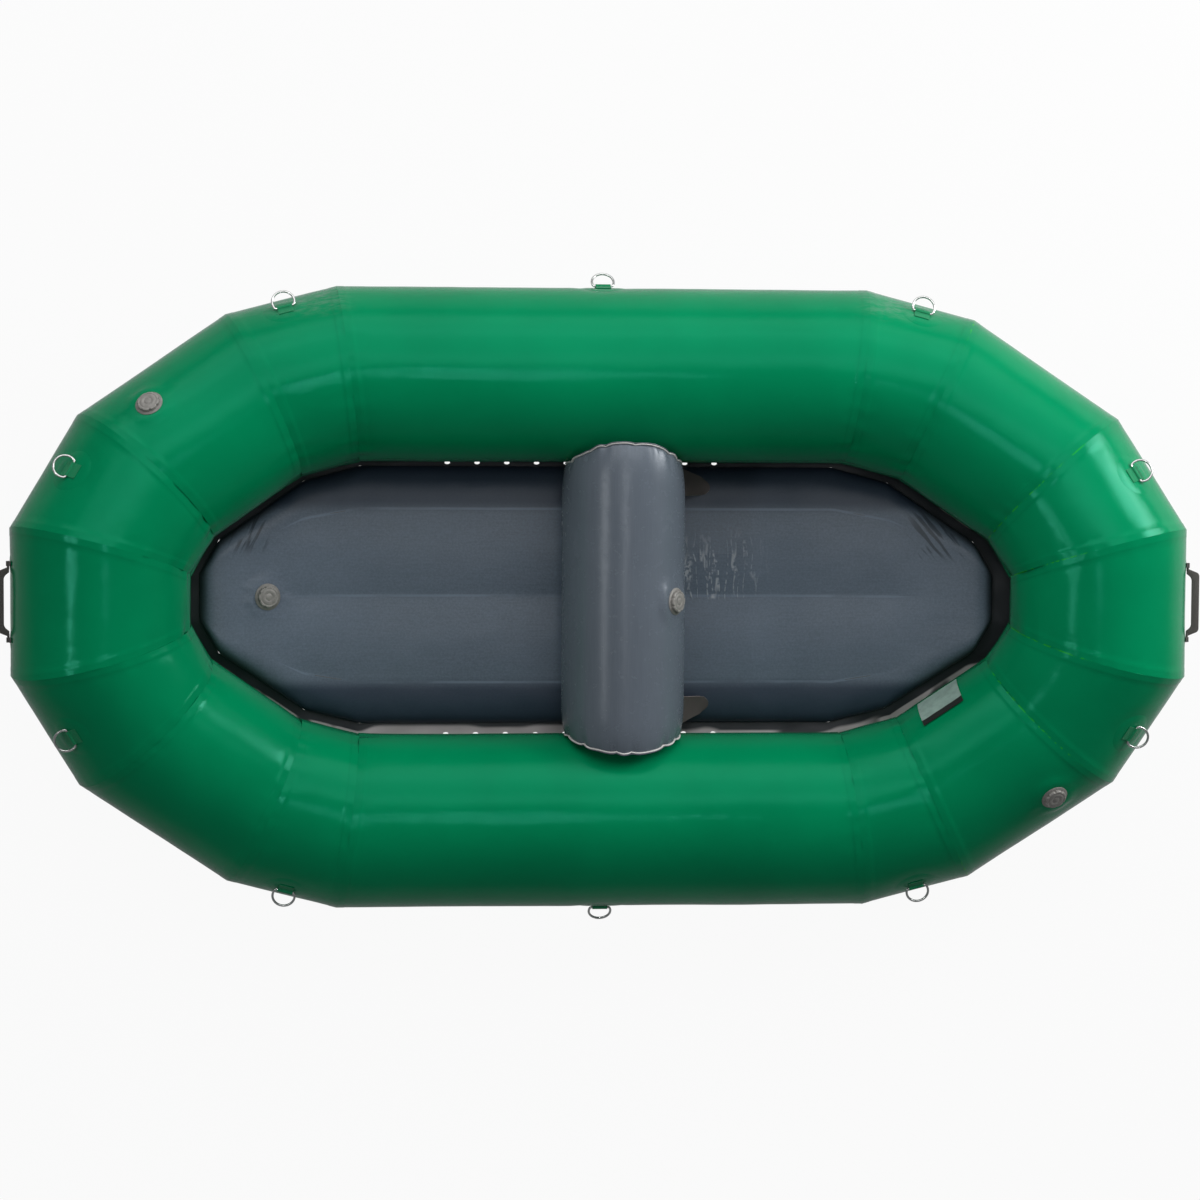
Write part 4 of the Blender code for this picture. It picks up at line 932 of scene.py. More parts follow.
def tube_relief(panel, angle, along, whole, point, settings):
    """How far the cloth stands off the even tube: tapes, puckers beside the seams and a slow swell."""
    inner = (1 - math.cos(angle)) / 2
    upper = (1 + math.sin(angle)) / 2
    lift = -settings.tape * 0.4
    for distance, side in ((along, 0), (whole - along, 1)):
        lift += settings.tape * (1 - smooth_step(TAPE_STEPS[-1], TAPE_STOP, distance))
        lift -= settings.pinch * (0.35 + inner) * fade(distance, PINCH_REACH)
        fold = wave(angle * 7.5, panel.seed * 3.1 + side, 0.3)
        lift += settings.pucker * (0.2 + inner**2) * fold * fade(distance, PUCKER_REACH)
    lift += settings.swell * noise.noise(point * 4.3 + Vector((panel.seed, 0, 0))) * (0.5 + upper)
    lift += settings.swell * 0.35 * noise.noise(point * 15)
    shift = (point - panel.middle).dot(panel.direction)
    for elevation, middle, radius in panel.patches:
        away = math.hypot((angle - elevation) * TUBE_RADIUS, shift - middle)
        free = smooth_step(radius, radius * 1.5, away)
        lift = lift * free - PATCH_SINK * (1 - free)
    return lift


def on_skin(panel, angle, shift, height, settings):
    """A point above the dressed skin, a shift along from the panel's middle."""
    start, end = panel.mitre_points(angle, SKIN_RADIUS)
    point = panel.surface(angle, shift, 0)
    along = (point - start).dot(panel.direction)
    lift = tube_relief(panel, angle, along, (end - start).length, point, settings)
    return point + panel.radial(angle) * (lift + height)


def skin(panel, settings):
    """A panel's inflated cloth between its mitres."""
    length = (panel.end - panel.start).length
    fill = max(10, round((length - 2 * TAPE_STOP) / settings.grid))
    columns = [(0, step) for step in TAPE_STEPS]
    columns += [(share, (1 - 2 * share) * TAPE_STOP) for share in spread(0, 1, fill)]
    columns += [(1, -step) for step in reversed(TAPE_STEPS)]
    around = round(2 * math.pi * TUBE_RADIUS / settings.grid)

    def place(column, turn):
        angle = turn + panel.turn
        start, end = panel.mitre_points(angle, SKIN_RADIUS)
        whole = (end - start).length
        along = column[0] * whole + column[1]
        point = start + panel.direction * along
        lift = tube_relief(panel, angle, along, whole, point, settings)
        seam = (min(along, whole - along), turn)
        return point + panel.radial(angle) * lift, (along - whole / 2, turn * SKIN_RADIUS), seam

    return laid_grid(columns, spread(-math.pi * 0.75, math.pi * 1.25, around), place, (CLOTH_MAP, SEAM_MAP))


def colour_of(name, description, default):
    return bpy.props.FloatVectorProperty(name=name, description=description, subtype="COLOR", default=default)


def length_of(name, description, default):
    return bpy.props.FloatProperty(name=name, description=description, default=default, unit="LENGTH")


class RaftColours(bpy.types.PropertyGroup):
    """The finishes' base colours."""

    tube: colour_of("Tube", "Coated fabric of the tubes", (0.0005, 0.215, 0.083))
    floor: colour_of("Floor", "Fabric of the floor's top sheet", (0.099, 0.127, 0.166))
    thwart: colour_of("Thwart", "Fabric of the thwart", (0.104, 0.124, 0.151))
    hem: colour_of("Hem", "Welded hem at the thwart's ends", (0.62, 0.60, 0.58))
    skirt: colour_of("Skirt", "Drained skirt round the floor", (0.43, 0.385, 0.395))
    tab: colour_of("Tab", "Anchor tabs of the thwart", (0.085, 0.073, 0.071))
    webbing: colour_of("Webbing", "Carry handles", (0.075, 0.070, 0.065))
    cap: colour_of("Cap", "Valve caps", (0.24, 0.23, 0.215))
    label: colour_of("Label", "The bare label", (0.25, 0.35, 0.31))


class RaftTube(bpy.types.PropertyGroup):
    """How the tubes' cloth lies."""

    grid: length_of("Grid", "Size of the cloth's faces", 0.0105)
    tape: length_of("Tape", "Thickness of the seam tapes", 0.0005)
    pinch: length_of("Pinch", "How far a seam pulls the tube in", 0.0004)
    pucker: length_of("Pucker", "Depth of the folds beside a seam", 0.0040)
    swell: length_of("Swell", "Depth of the cloth's slow waves", 0.0011)


class RAFT_OT_tubes(bpy.types.Operator):
    """Make the sixteen fabric panels of the tube, with their seam tapes"""

    bl_idname = "raft.tubes"
    bl_label = "Tubes"

    def execute(self, context):
        seats = {"stern_port_quarter": "stern_valve", "bow_starboard_quarter": "bow_valve"}
        for name, panel in PANELS.items():
            bm = skin(panel, context.scene.raft_tube)
            weld(bm)
            if name in seats:
                seat_valve(bm, seats[name])
            bmesh.ops.recalc_face_normals(bm, faces=bm.faces)
            if sum(face.normal.dot(face.calc_center_median() - panel.middle) for face in bm.faces) < 0:
                raise RuntimeError(f"{name} is inside out")
            piece(f"{name}_skin", bm, "tube_fabric", replaced=(name,), wall=FABRIC)
        return {"FINISHED"}


class RAFT_OT_webs(bpy.types.Operator):
    """Dress the baffles inside the tubes and the beams inside the floor"""

    bl_idname = "raft.webs"
    bl_label = "Baffles and beams"

    def execute(self, context):
        for name in WEBS:
            bm = bmesh.new()
            bm.from_mesh(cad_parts[name].data)
            weld(bm)
            bmesh.ops.subdivide_edges(bm, edges=bm.edges, cuts=1, use_grid_fill=True)
            piece(f"{name}_web", bm, "inner_fabric", replaced=(name,))
        return {"FINISHED"}


# Lashing rings and handles

LOOP_TAILS = (  # reach from the bar, and height over the patch, from the tip inward
    (0.024, -0.0013), (0.019, -0.0008), (0.014, -0.0003),
    (0.0105, 0.0001), (0.0078, 0.0007), (0.0060, 0.0018),
)
LOOP_WRAP = 0.15  # how far the loop goes on past half a turn, in radians
BUTT_LENGTH = 0.0012  # of the steps beside the weld in a ring's bar
WELD_HALF = 0.0008
WELD_SWELL = 1.08
STRAP_CORNER = 0.007
STRAP_EDGE = 0.0011
PIN_EDGE = 0.0006


def patch(name, panel, angle, shift, radius, settings):
    """A round reinforcing patch that follows the tube's cloth and thins out to its rim."""
    inner = [share for share in (0.70, 0.45, 0.2, 0) if share < 1 - 0.011 / radius]
    profile = [(radius * share, -FABRIC) for share in (0, 0.3, 0.55, 0.78, 0.9, 1)]
    profile += [(radius, 0.0001), (radius - 0.003, 0.0004), (radius - 0.008, PATCH_THICKNESS * 0.6)]
    profile += [(radius * share, PATCH_THICKNESS) for share in inner]
    bm = turned(profile, 64)
    chart_from_above(bm)
    for vert in bm.verts:
        around, along = angle + vert.co.y / TUBE_RADIUS, shift + vert.co.x
        vert.co = on_skin(panel, around, along, vert.co.z, settings)
    piece(name, bm, "tube_patch")


def webbing_loop(name, place, length, finish):
    """Webbing that passes over the bar and spreads flat on its patch, each side of it."""
    middle = LOOP_BORE + LOOP_WALL / 2
    floor = PATCH_THICKNESS - PIVOT_HEIGHT + LOOP_WALL / 2
    tails = [(reach, floor + rise) for reach, rise in LOOP_TAILS]
    turn = spread(-LOOP_WRAP, math.pi + LOOP_WRAP, 14)
    arc = [(middle * math.cos(angle), middle * math.sin(angle)) for angle in turn]
    path = tails + arc + [(-y, z) for y, z in reversed(tails)]
    runs = [0.0]
    for (y, z), (next_y, next_z) in zip(path, path[1:]):
        runs.append(runs[-1] + math.hypot(next_y - y, next_z - z))
    rows = list(zip(path, runs))
    bm = laid_grid(spread(-length / 2, length / 2, 8), rows, lambda x, row: ((x, *row[0]), (row[1], x)))
    bm.transform(place)
    piece(name, bm, finish, wall=LOOP_WALL * 0.8, offset=0)


def ring_wire():
    """A bent wire ring with one straight bar: X along the bar, Y away from it, a weld at its middle."""
    reach = RING_RADIUS - RING_CORNER
    flat = math.sqrt(reach**2 - (RING_BAR_OFFSET - RING_CORNER) ** 2)
    turn = math.atan2(RING_CORNER - RING_BAR_OFFSET, flat)
    half_bar = (BUTT_LENGTH, BUTT_LENGTH, flat - 2 * BUTT_LENGTH)
    bm = bmesh.new()
    bmesh.ops.create_circle(bm, radius=WIRE_RADIUS, segments=16, matrix=Matrix.Rotation(math.pi / 2, 4, "Y"))

    def edges_of(geom):
        return [item for item in geom if isinstance(item, bmesh.types.BMEdge)]

    def run_to(section, distance):
        made = bmesh.ops.extrude_edge_only(bm, edges=edges_of(section))["geom"]
        verts = verts_of(made)
        bmesh.ops.translate(bm, verts=verts, vec=(distance, 0, 0))
        return verts + [edge for edge in edges_of(made) if all(vert in verts for vert in edge.verts)]

    def spin_on(section, centre, angle, steps):
        made = bmesh.ops.spin(
            bm, geom=section, cent=centre, axis=(0, 0, 1), angle=angle, steps=steps, use_merge=False
        )
        return made["geom_last"]

    section = bm.verts[:] + bm.edges[:]
    for distance in half_bar:
        section = run_to(section, distance)
    section = spin_on(section, (flat, RING_CORNER, 0), math.pi / 2 + turn, 10)
    section = spin_on(section, (0, RING_BAR_OFFSET, 0), math.pi - 2 * turn, 44)
    section = spin_on(section, (-flat, RING_CORNER, 0), math.pi / 2 + turn, 10)
    for distance in reversed(half_bar):
        section = run_to(section, distance)
    weld(bm)
    for vert in bm.verts:
        if abs(vert.co.x) < WELD_HALF and vert.co.y < RING_CORNER:
            vert.co.y *= WELD_SWELL
            vert.co.z *= WELD_SWELL
    return bm


def pivot_frame(panel, elevation, droop, shift):
    """A hinge's frame: X along its axis, Y the way the ring or handle hangs."""
    pivot = panel.anchor(elevation, shift, PIVOT_HEIGHT).translation
    reach = panel.outward * math.cos(droop) - panel.upward * math.sin(droop)
    return frame_matrix(pivot, panel.direction, reach, panel.direction.cross(reach))


class RAFT_OT_rings(bpy.types.Operator):
    """Make the ten lashing rings, their webbing loops and their patches"""

    bl_idname = "raft.rings"
    bl_label = "Lashing rings"

    def execute(self, context):
        for name, panel_name, (elevation, droop), shift in RINGS:
            panel = PANELS[panel_name]
            patch(f"{name}_patch", panel, elevation, shift, PATCH_RADIUS, context.scene.raft_tube)
            place = panel.anchor(elevation, shift, PIVOT_HEIGHT)
            webbing_loop(f"{name}_loop", place, LOOP_LENGTH, "green_webbing")
            bm = ring_wire()
            bm.transform(pivot_frame(panel, elevation, droop, shift))
            piece(f"{name}_wire", bm, "stainless_steel", body=name, replaced=(name,))
        return {"FINISHED"}


def handle_strap():
    """A flat strap cut to a shallow arch: X along the hinge, Y outward, with a pin at each foot."""
    foot, half, reach = HANDLE_FOOT_REACH, HANDLE_HALF, HANDLE_REACH
    root = foot - HANDLE_FOOT_WIDTH
    inner = reach - HANDLE_STRAP
    outline = [
        (-foot, -HANDLE_FOOT), (-root, -HANDLE_FOOT), (inner - root, inner), (root - inner, inner),
        (root, -HANDLE_FOOT), (foot, -HANDLE_FOOT), (half, reach), (-half, reach),
    ]
    bm = bmesh.new()
    face = bm.faces.new([bm.verts.new((x, y, -HANDLE_THICKNESS / 2)) for x, y in outline])
    raised = verts_of(bmesh.ops.extrude_face_region(bm, geom=[face])["geom"])
    bmesh.ops.translate(bm, verts=raised, vec=(0, 0, HANDLE_THICKNESS))
    upright = [edge for edge in bm.edges if crosses(edge, 2) and edge.verts[0].co.y > 0]
    round_edges(bm, upright, STRAP_CORNER, 6)
    round_edges(bm, [edge for edge in bm.edges if not crosses(edge, 2)], STRAP_EDGE, 3)
    chart_from_above(bm)
    for side in (-1, 1):
        length = EYE_END_PLAY + EYE_LENGTH + HANDLE_FOOT_WIDTH / 2
        middle = side * (foot - HANDLE_FOOT_WIDTH / 2 + length / 2)
        place = Matrix.Translation((middle, 0, 0)) @ Matrix.Rotation(math.pi / 2, 4, "Y")
        pin = bmesh.ops.create_cone(
            bm, cap_ends=True, segments=20, radius1=WIRE_RADIUS, radius2=WIRE_RADIUS, depth=length,
            matrix=place,
        )
        ends = {edge for vert in pin["verts"] for edge in vert.link_edges if not crosses(edge, 0)}
        round_edges(bm, list(ends), PIN_EDGE, 2)
    return bm


class RAFT_OT_handles(bpy.types.Operator):
    """Make the two carry handles, their eyes and patches"""

    bl_idname = "raft.handles"
    bl_label = "Carry handles"

    def execute(self, context):
        settings = context.scene.raft_tube
        for name, panel_name in HANDLES:
            panel = PANELS[panel_name]
            bm = handle_strap()
            bm.transform(pivot_frame(panel, HANDLE_ELEVATION, 0, 0))
            piece(f"{name}_strap", bm, "dark_webbing", body=name, replaced=(name,))
            for shift, word in ((-EYE_SHIFT, "first"), (EYE_SHIFT, "second")):
                patch(f"{name}_{word}_patch", panel, HANDLE_ELEVATION, shift, EYE_PATCH_RADIUS, settings)
                place = panel.anchor(HANDLE_ELEVATION, shift, PIVOT_HEIGHT)
                webbing_loop(f"{name}_{word}_eye", place, EYE_LENGTH, "dark_webbing")
        return {"FINISHED"}


# The floor

FLOOR_WEB_ROWS = (22, 16)  # of faces, inside and outside the outer beams
RIM_STILL = (0.90, 0.995)  # the share of the floor at which its folds die out
WET_FOLDS_X = (0.20, 0.23, 0.30, 0.44)
WET_FOLDS_Y = (-0.02, 0.03, 0.16, 0.26)


def floor_stations(grid):
    """Lengthwise places of the floor's grid, closer where the ends round off."""
    start = FLOOR_HALF_LENGTH - FLOOR_END_ROUND
    flat = spread(-start, start, round(2 * start / grid))
    ends = [start + FLOOR_END_ROUND * math.sin(math.pi / 2 * share) for share in spread(0, 1, 12)[1:]]
    return [-x for x in reversed(ends)] + flat + ends


def floor_shares():
    inside, outside = FLOOR_WEB_ROWS
    turns = spread(0, math.pi / 2, outside)[1:]
    outer = [BEAM_SHARE + (1 - BEAM_SHARE) * math.sin(turn) for turn in turns]
    return both_sides(spread(0, BEAM_SHARE, inside) + outer)


def plateau(low, rise, fall, high, value):
    return smooth_step(low, rise, value) * (1 - smooth_step(fall, high, value))


def floor_relief(x, y, share, settings):
    """How far the top sheet's folds stand above its even shape."""
    end = floor_end_share(x)
    edge = max(abs(share), end)
    lift = settings.wave * (wave(x * 5, y * 7, 0.2) + 0.5 * wave(x * 16, y * 22, 1.2))
    border = (x if abs(share) > end else y) * 34
    lift -= settings.pucker * (0.5 + wave(border, math.copysign(3, share), 0.5)) * fade(1 - edge, 0.12)
    region = plateau(*WET_FOLDS_X, x) * plateau(*WET_FOLDS_Y, y)
    lift += settings.fold * region * wave(x * 55 + y * 9, y * 9, 4.0)
    return lift * (1 - smooth_step(*RIM_STILL, edge))


def floor_sheet(side, settings):
    """The floor's upper or lower cloth. The seam map holds the reach to the rim and to a crease."""

    def place(x, share):
        half = floor_half_width(x)
        y = share * half
        z = floor_middle(x) + side * (floor_bulge(x, share) + GAP / 2)
        if side > 0:
            z += floor_relief(x, y, share, settings)
        rim = min(half * (1 - abs(share)), FLOOR_HALF_LENGTH - abs(x))
        crease = min(abs(share), abs(abs(share) - BEAM_SHARE)) * half
        crease += max(0.0, abs(x) - BEAM_HALF_LENGTH) * 0.05
        return (x, y, z), (x, y), (rim, crease)

    return laid_grid(floor_stations(settings.grid), floor_shares(), place, (CLOTH_MAP, SEAM_MAP))


class RaftFloor(bpy.types.PropertyGroup):
    """How the floor's cloth lies."""

    grid: length_of("Grid", "Size of the cloth's faces", 0.0085)
    wave: length_of("Wave", "Depth of the cloth's slow waves", 0.0016)
    pucker: length_of("Pucker", "Depth of the folds at the welded edge", 0.0024)
    fold: length_of("Fold", "Depth of the folds beside the thwart", 0.0007)
    ripple: length_of("Ripple", "Depth of the skirt's ripples", 0.005)


class RAFT_OT_floor(bpy.types.Operator):
    """Make the floor's two sheets"""

    bl_idname = "raft.floor"
    bl_label = "Floor"

    def execute(self, context):
        settings = context.scene.raft_floor
        for word, side, finish in (("top", 1, "floor_fabric"), ("bottom", -1, "skirt_fabric")):
            sheet = floor_sheet(side, settings)
            if side > 0:
                seat_valve(sheet, "floor_valve")
            piece(f"floor_{word}_sheet", sheet, finish, replaced=(f"floor_{word}",), wall=FABRIC,
                  facing=UP * side)
        return {"FINISHED"}


def floor_border(step):
    """Points of the floor's edge, all round, with each one's distance along it."""
    corners = whole_ring(OUTLINE)
    points, run = [], 0.0
    for start, end in zip(corners, corners[1:] + corners[:1]):
        length = (end - start).length
        for share in spread(0, 1, max(2, round(length / step)))[:-1]:
            points.append((start.lerp(end, share), run + share * length))
        run += length
    return points + [(corners[0], run)]


BORDER_LENGTH = floor_border(1.0)[-1][1]
SKIRT_ROWS = [("free", share) for share in spread(0, 1, 9)]
SKIRT_ROWS += [("lap", share) for share in spread(0, 1, 4)[1:]]
SKIRT_CHART = 0.07  # the skirt's width, and its lap's, on its cloth map
SKIRT_STEP = 0.011
SKIRT_CLEAR = SKIN_RADIUS + FABRIC + 0.0004  # from the tube's axis to the lap


def skirt_mesh(ripple):
    """The skirt from the floor's edge to the tubes, and its lap on them, with slack ripples."""

    def place(column, row):
        spot, run = column
        kind, share = row
        angle = math.pi - SKIRT_ANGLE
        if kind == "lap":
            point = skirt_line(spot.x, spot.y, angle + SKIRT_LAP / TUBE_RADIUS * share, SKIRT_CLEAR)
            return point, (run, SKIRT_CHART * (share + 1))
        root = Vector((spot.x, spot.y, floor_middle(spot.x)))
        point = root.lerp(skirt_line(spot.x, spot.y, angle, SKIRT_CLEAR), share)
        turn = run * 2 * math.pi / BORDER_LENGTH
        slack = wave(math.cos(turn) * 14, math.sin(turn) * 14, share * 1.5) * 1.6 - 0.25
        point.z += ripple * math.sin(math.pi * share) * slack
        return point, (run, SKIRT_CHART * share)

    return laid_grid(floor_border(SKIRT_STEP), SKIRT_ROWS, place)


def drain_cutters():
    bm = bmesh.new()
    shape = Matrix.Diagonal((DRAIN_LENGTH / 2, DRAIN_WIDTH / 2, 1, 1))
    for step in range(DRAIN_COUNT):
        x = DRAIN_X + (step - (DRAIN_COUNT - 1) / 2) * DRAIN_PITCH
        for side in (1, -1):
            edge = Vector((x, side * floor_half_width(x), floor_middle(x)))
            foot = skirt_line(x, edge.y, math.pi - SKIRT_ANGLE, SKIN_RADIUS)
            middle = edge.lerp(foot, (DRAIN_SETBACK - side * DRAIN_SHIFT) / (foot - edge).length)
            bmesh.ops.create_cone(
                bm, cap_ends=True, segments=20, radius1=1, radius2=1, depth=DRAIN_WIDTH * 4,
                matrix=Matrix.Translation(middle) @ shape,
            )
    return bm


class RAFT_OT_skirt(bpy.types.Operator):
    """Make the skirt between floor and tubes, with its drain holes"""

    bl_idname = "raft.skirt"
    bl_label = "Skirt"

    def execute(self, context):
        bm = skirt_mesh(context.scene.raft_floor.ripple)
        skirt = piece("drained_skirt", bm, "skirt_fabric", wall=FABRIC, facing=UP)
        baked_difference(skirt, drain_cutters())
        return {"FINISHED"}


# The thwart

THWART_SIDES = 132
HEM_SIDES = 168
HEM_LOBES = 13
HEM_GATHER = 0.022  # how far in from its end the wall is drawn up into scallops
FOLD_REACH = 0.030
HEM_STAND = 0.0026
HEM_HALF_WIDTH = 0.0046
HEM_HALF_THICKNESS = 0.0021
TAB_DISH = 0.006
TAB_LEAN = 0.012


class RaftThwart(bpy.types.PropertyGroup):
    """How the thwart's cloth lies."""

    scallop: length_of("Scallop", "Depth of the hem's scallops", 0.005)
    pucker: length_of("Pucker", "Depth of the folds at its ends", 0.0048)
    swell: length_of("Swell", "Depth of its slow waves", 0.0012)


def valley(angle, side):
    """From 0 at the middle of one of the hem's lobes to 1 between two of them."""
    wander = 0.35 * wave(math.cos(angle) * 2, math.sin(angle) * 2, side)
    return 1 - abs(math.sin((angle + wander) * HEM_LOBES / 2)) ** 0.7


def thwart_wall(settings):
    outer = [0.5 + 0.5 * math.sin(math.pi / 2 * share) for share in spread(0, 1, 26)[1:]]

    def place(along, angle):
        cosine, sine = math.cos(angle), math.sin(angle)
        side = math.copysign(1, along)
        share = abs(along)
        drawn = valley(angle, side)
        reach = seam_reach(THWART_HEIGHT + sine * THWART_END_RADIUS, side)
        turn = math.pi * max(0.0, share - 0.5)
        y = (reach - THWART_DRAW_LENGTH) * min(1.0, share * 2) + THWART_DRAW_LENGTH * math.sin(turn)
        radius = THWART_END_RADIUS + THWART_DRAW_IN * math.cos(turn)
        distance = reach - y
        y -= settings.scallop * drawn * fade(distance, HEM_GATHER) * smooth_step(0.5, 1.0, share)
        fine = wave(cosine * 16, sine * 16, side * 2)
        radius -= settings.pucker * (drawn * 0.8 - fine * 0.7) * fade(distance, FOLD_REACH)
        radius += settings.swell * wave(y * 4, cosine * 1.3, sine * 1.3)
        return thwart_point(angle, radius, side * y), (side * y, angle * THWART_RADIUS)

    columns = both_sides(spread(0, 0.5, 16) + outer)
    return laid_grid(columns, spread(-math.pi / 2, math.pi * 1.5, THWART_SIDES), place)


def thwart_end(side, settings):
    """A domed end cap, pressed flat on the tube, whose hem stands out round the wall in scallops."""
    shares = spread(0, 1, 16) + [1 + part * HEM_WIDTH / THWART_END_RADIUS for part in (0.4, 1)]

    def place(share, angle):
        height = THWART_HEIGHT + math.sin(angle) * share * THWART_END_RADIUS
        dome = THWART_DOME * max(0.0, 1 - share**2)
        reach = min(seam_reach(height, side) + GAP + FABRIC + dome, tube_face(height, END_CLEAR))
        drawn = valley(angle, side) * smooth_step(0.80, 1.0, share)
        radius = share * THWART_END_RADIUS - settings.pucker * drawn * 0.8
        point = thwart_point(angle, radius, side * (reach - settings.scallop * drawn))
        return point, (point.x, height)

    return laid_grid(shares, spread(-math.pi, math.pi, THWART_SIDES), place)


def thwart_hem(side, settings):
    """The pale cut edge of the welded hem, a thin rounded strip round the wall's end."""

    def place(turn, angle):
        drawn = valley(angle, side)
        height = THWART_HEIGHT + math.sin(angle) * THWART_END_RADIUS
        reach = seam_reach(height, side) + GAP - settings.scallop * drawn
        reach += HEM_HALF_THICKNESS * math.sin(turn)
        out = THWART_END_RADIUS - settings.pucker * drawn * 0.8 + HEM_STAND + HEM_HALF_WIDTH * math.cos(turn)
        return thwart_point(angle, out, side * reach), (turn * 0.003, angle * out)

    return laid_grid(spread(0, 2 * math.pi, 12), spread(-math.pi, math.pi, HEM_SIDES), place)


def thwart_tab(side):
    """A stiff wing from the thwart's lower bow side down to the floor, slightly dished."""
    root = thwart_point(TAB_ROOT_ANGLE, THWART_RADIUS + GAP)
    outer = seam_reach(root.z) - TAB_INSET

    def place(along, across):
        width = TAB_ROOT + TAB_SPREAD + (TAB_TIP - TAB_ROOT) * along
        y = outer + TAB_SPREAD * (1 - along) - TAB_ROOT / 2 - TAB_LEAN * along + width * across / 2
        x = root.x + TAB_REACH * (along - 0.06 * (1 - along)) - 0.06 * max(0.0, along - 0.8) * across**2
        low = floor_middle(x) + floor_bulge(x, y / floor_half_width(x)) + GAP + TAB_THICKNESS
        top = root.z + (low - root.z) * smooth_step(0, 1, 0.15 + 0.85 * along) ** 0.8
        return Vector((x, side * y, top - TAB_DISH * math.sin(math.pi * along) * (1 - across**2))), (x, y)

    return laid_grid(spread(0, 1, 20), spread(-1, 1, 14), place)


class RAFT_OT_thwart(bpy.types.Operator):
    """Make the thwart: its wall, end caps, hems and anchor tabs"""

    bl_idname = "raft.thwart"
    bl_label = "Thwart"

    def execute(self, context):
        settings = context.scene.raft_thwart
        wall = thwart_wall(settings)
        weld(wall)
        seat_valve(wall, "thwart_valve")
        piece("thwart_wall_skin", wall, "thwart_fabric", replaced=("thwart_wall",),
              wall=FABRIC)
        for name, side in (("port", 1), ("starboard", -1)):
            piece(f"thwart_{name}_cap", thwart_end(side, settings), "thwart_fabric",
                  replaced=(f"thwart_{name}_end",), wall=FABRIC, facing=Vector((0, side, 0)))
            piece(f"thwart_{name}_hem", thwart_hem(side, settings), "hem_fabric")
            tab = piece(f"thwart_{name}_wing", thwart_tab(side), "tab_fabric",
                        replaced=(f"thwart_{name}_tab",), wall=TAB_THICKNESS, facing=UP)
            # The tab's rim faces take the painted highlight finish.
            tab.data.materials.append(finish_of("tab_edge"))
            tab.modifiers["wall"].material_offset_rim = 1
        return {"FINISHED"}


# The valves

THREAD_DEPTH = 0.0007
LIP_TOP = LIP_HEIGHT + LIP_THICKNESS
CLAMP_FOOT = CLAMP_TOP - CLAMP_THICKNESS
CAP_FIELD = 0.0235  # the cap stays round within this radius
KEPT_PARTS = (("gasket", "gasket_rubber"), ("poppet", "valve_plastic"), ("spring", "stainless_steel"))


def valve_body():
    """Flange, threaded neck, barrel with its web, and clamp ring, from one profile."""
    # In from the flange's rim, and down from its top.
    flange = ((0.0042, 0.0), (0.0036, 0.0006), (0.0006, 0.0009), (0.0, 0.0016))
    profile = [
        (NECK_RADIUS, NECK_HEIGHT), (NECK_RADIUS, 0.0064), (NECK_RADIUS - THREAD_DEPTH, 0.0058),
        (NECK_RADIUS, 0.0052), (NECK_RADIUS, 0.0046), (NECK_RADIUS - THREAD_DEPTH, 0.0040),
        (NECK_RADIUS, FLANGE_TOP), *((FLANGE_RADIUS - inward, FLANGE_TOP - down) for inward, down in flange),
        (FLANGE_RADIUS, GAP), (BARREL_RADIUS, GAP), (BARREL_RADIUS, CLAMP_TOP), (CLAMP_RADIUS, CLAMP_TOP),
        (CLAMP_RADIUS, CLAMP_FOOT), (BARREL_RADIUS, CLAMP_FOOT), (BARREL_RADIUS, -BARREL_DEPTH),
        (GUIDE_RADIUS, -BARREL_DEPTH), (GUIDE_RADIUS, WEB_TOP), (BARREL_BORE, WEB_TOP),
        (BARREL_BORE, LIP_HEIGHT), (LIP_RADIUS, LIP_HEIGHT), (LIP_RADIUS, LIP_TOP), (SOCKET_RADIUS, LIP_TOP),
        (SOCKET_RADIUS, NECK_HEIGHT),
    ]
    return turned(profile, 72)


def valve_cap():
    """A cap with a grooved top and notches round its rim for the fingers."""
    top = (  # radius, and how far below the cap's top
        (0, 0), (0.008, 0), (0.0086, 0.0005), (0.0102, 0.0005), (0.0108, 0), (0.0195, 0), (0.0202, 0.0006),
        (0.0216, 0.0006), (0.0222, 0.0001), (0.0240, 0.0002), (CAP_RADIUS - 0.0010, 0.0007),
        (CAP_RADIUS - 0.0002, 0.0016), (CAP_RADIUS, 0.0026),
    )
    profile = [(radius, CAP_HEIGHT - down) for radius, down in top]
    profile += [
        (CAP_RADIUS, 0.0040), (CAP_RADIUS - 0.0006, FLANGE_TOP + GAP), (CAP_BORE, FLANGE_TOP + GAP),
        (CAP_BORE, CAP_CEILING), (0, CAP_CEILING),
    ]
    bm = turned(profile, 160)
    reach = CAP_RADIUS + CAP_NOTCH_RADIUS - CAP_NOTCH_DEPTH
    pitch = 2 * math.pi / CAP_NOTCHES
    for vert in bm.verts:
        out = math.hypot(vert.co.x, vert.co.y)
        if out < CAP_FIELD:
            continue
        turn = math.atan2(vert.co.y, vert.co.x) / pitch - 0.5
        off = (turn - round(turn)) * pitch
        across = reach * math.sin(off)
        if abs(across) < CAP_NOTCH_RADIUS:
            limit = reach * math.cos(off) - math.sqrt(CAP_NOTCH_RADIUS**2 - across**2)
            scale = min(out, limit - (CAP_RADIUS - out) * 0.6) / out
            vert.co.x *= scale
            vert.co.y *= scale
    return bm


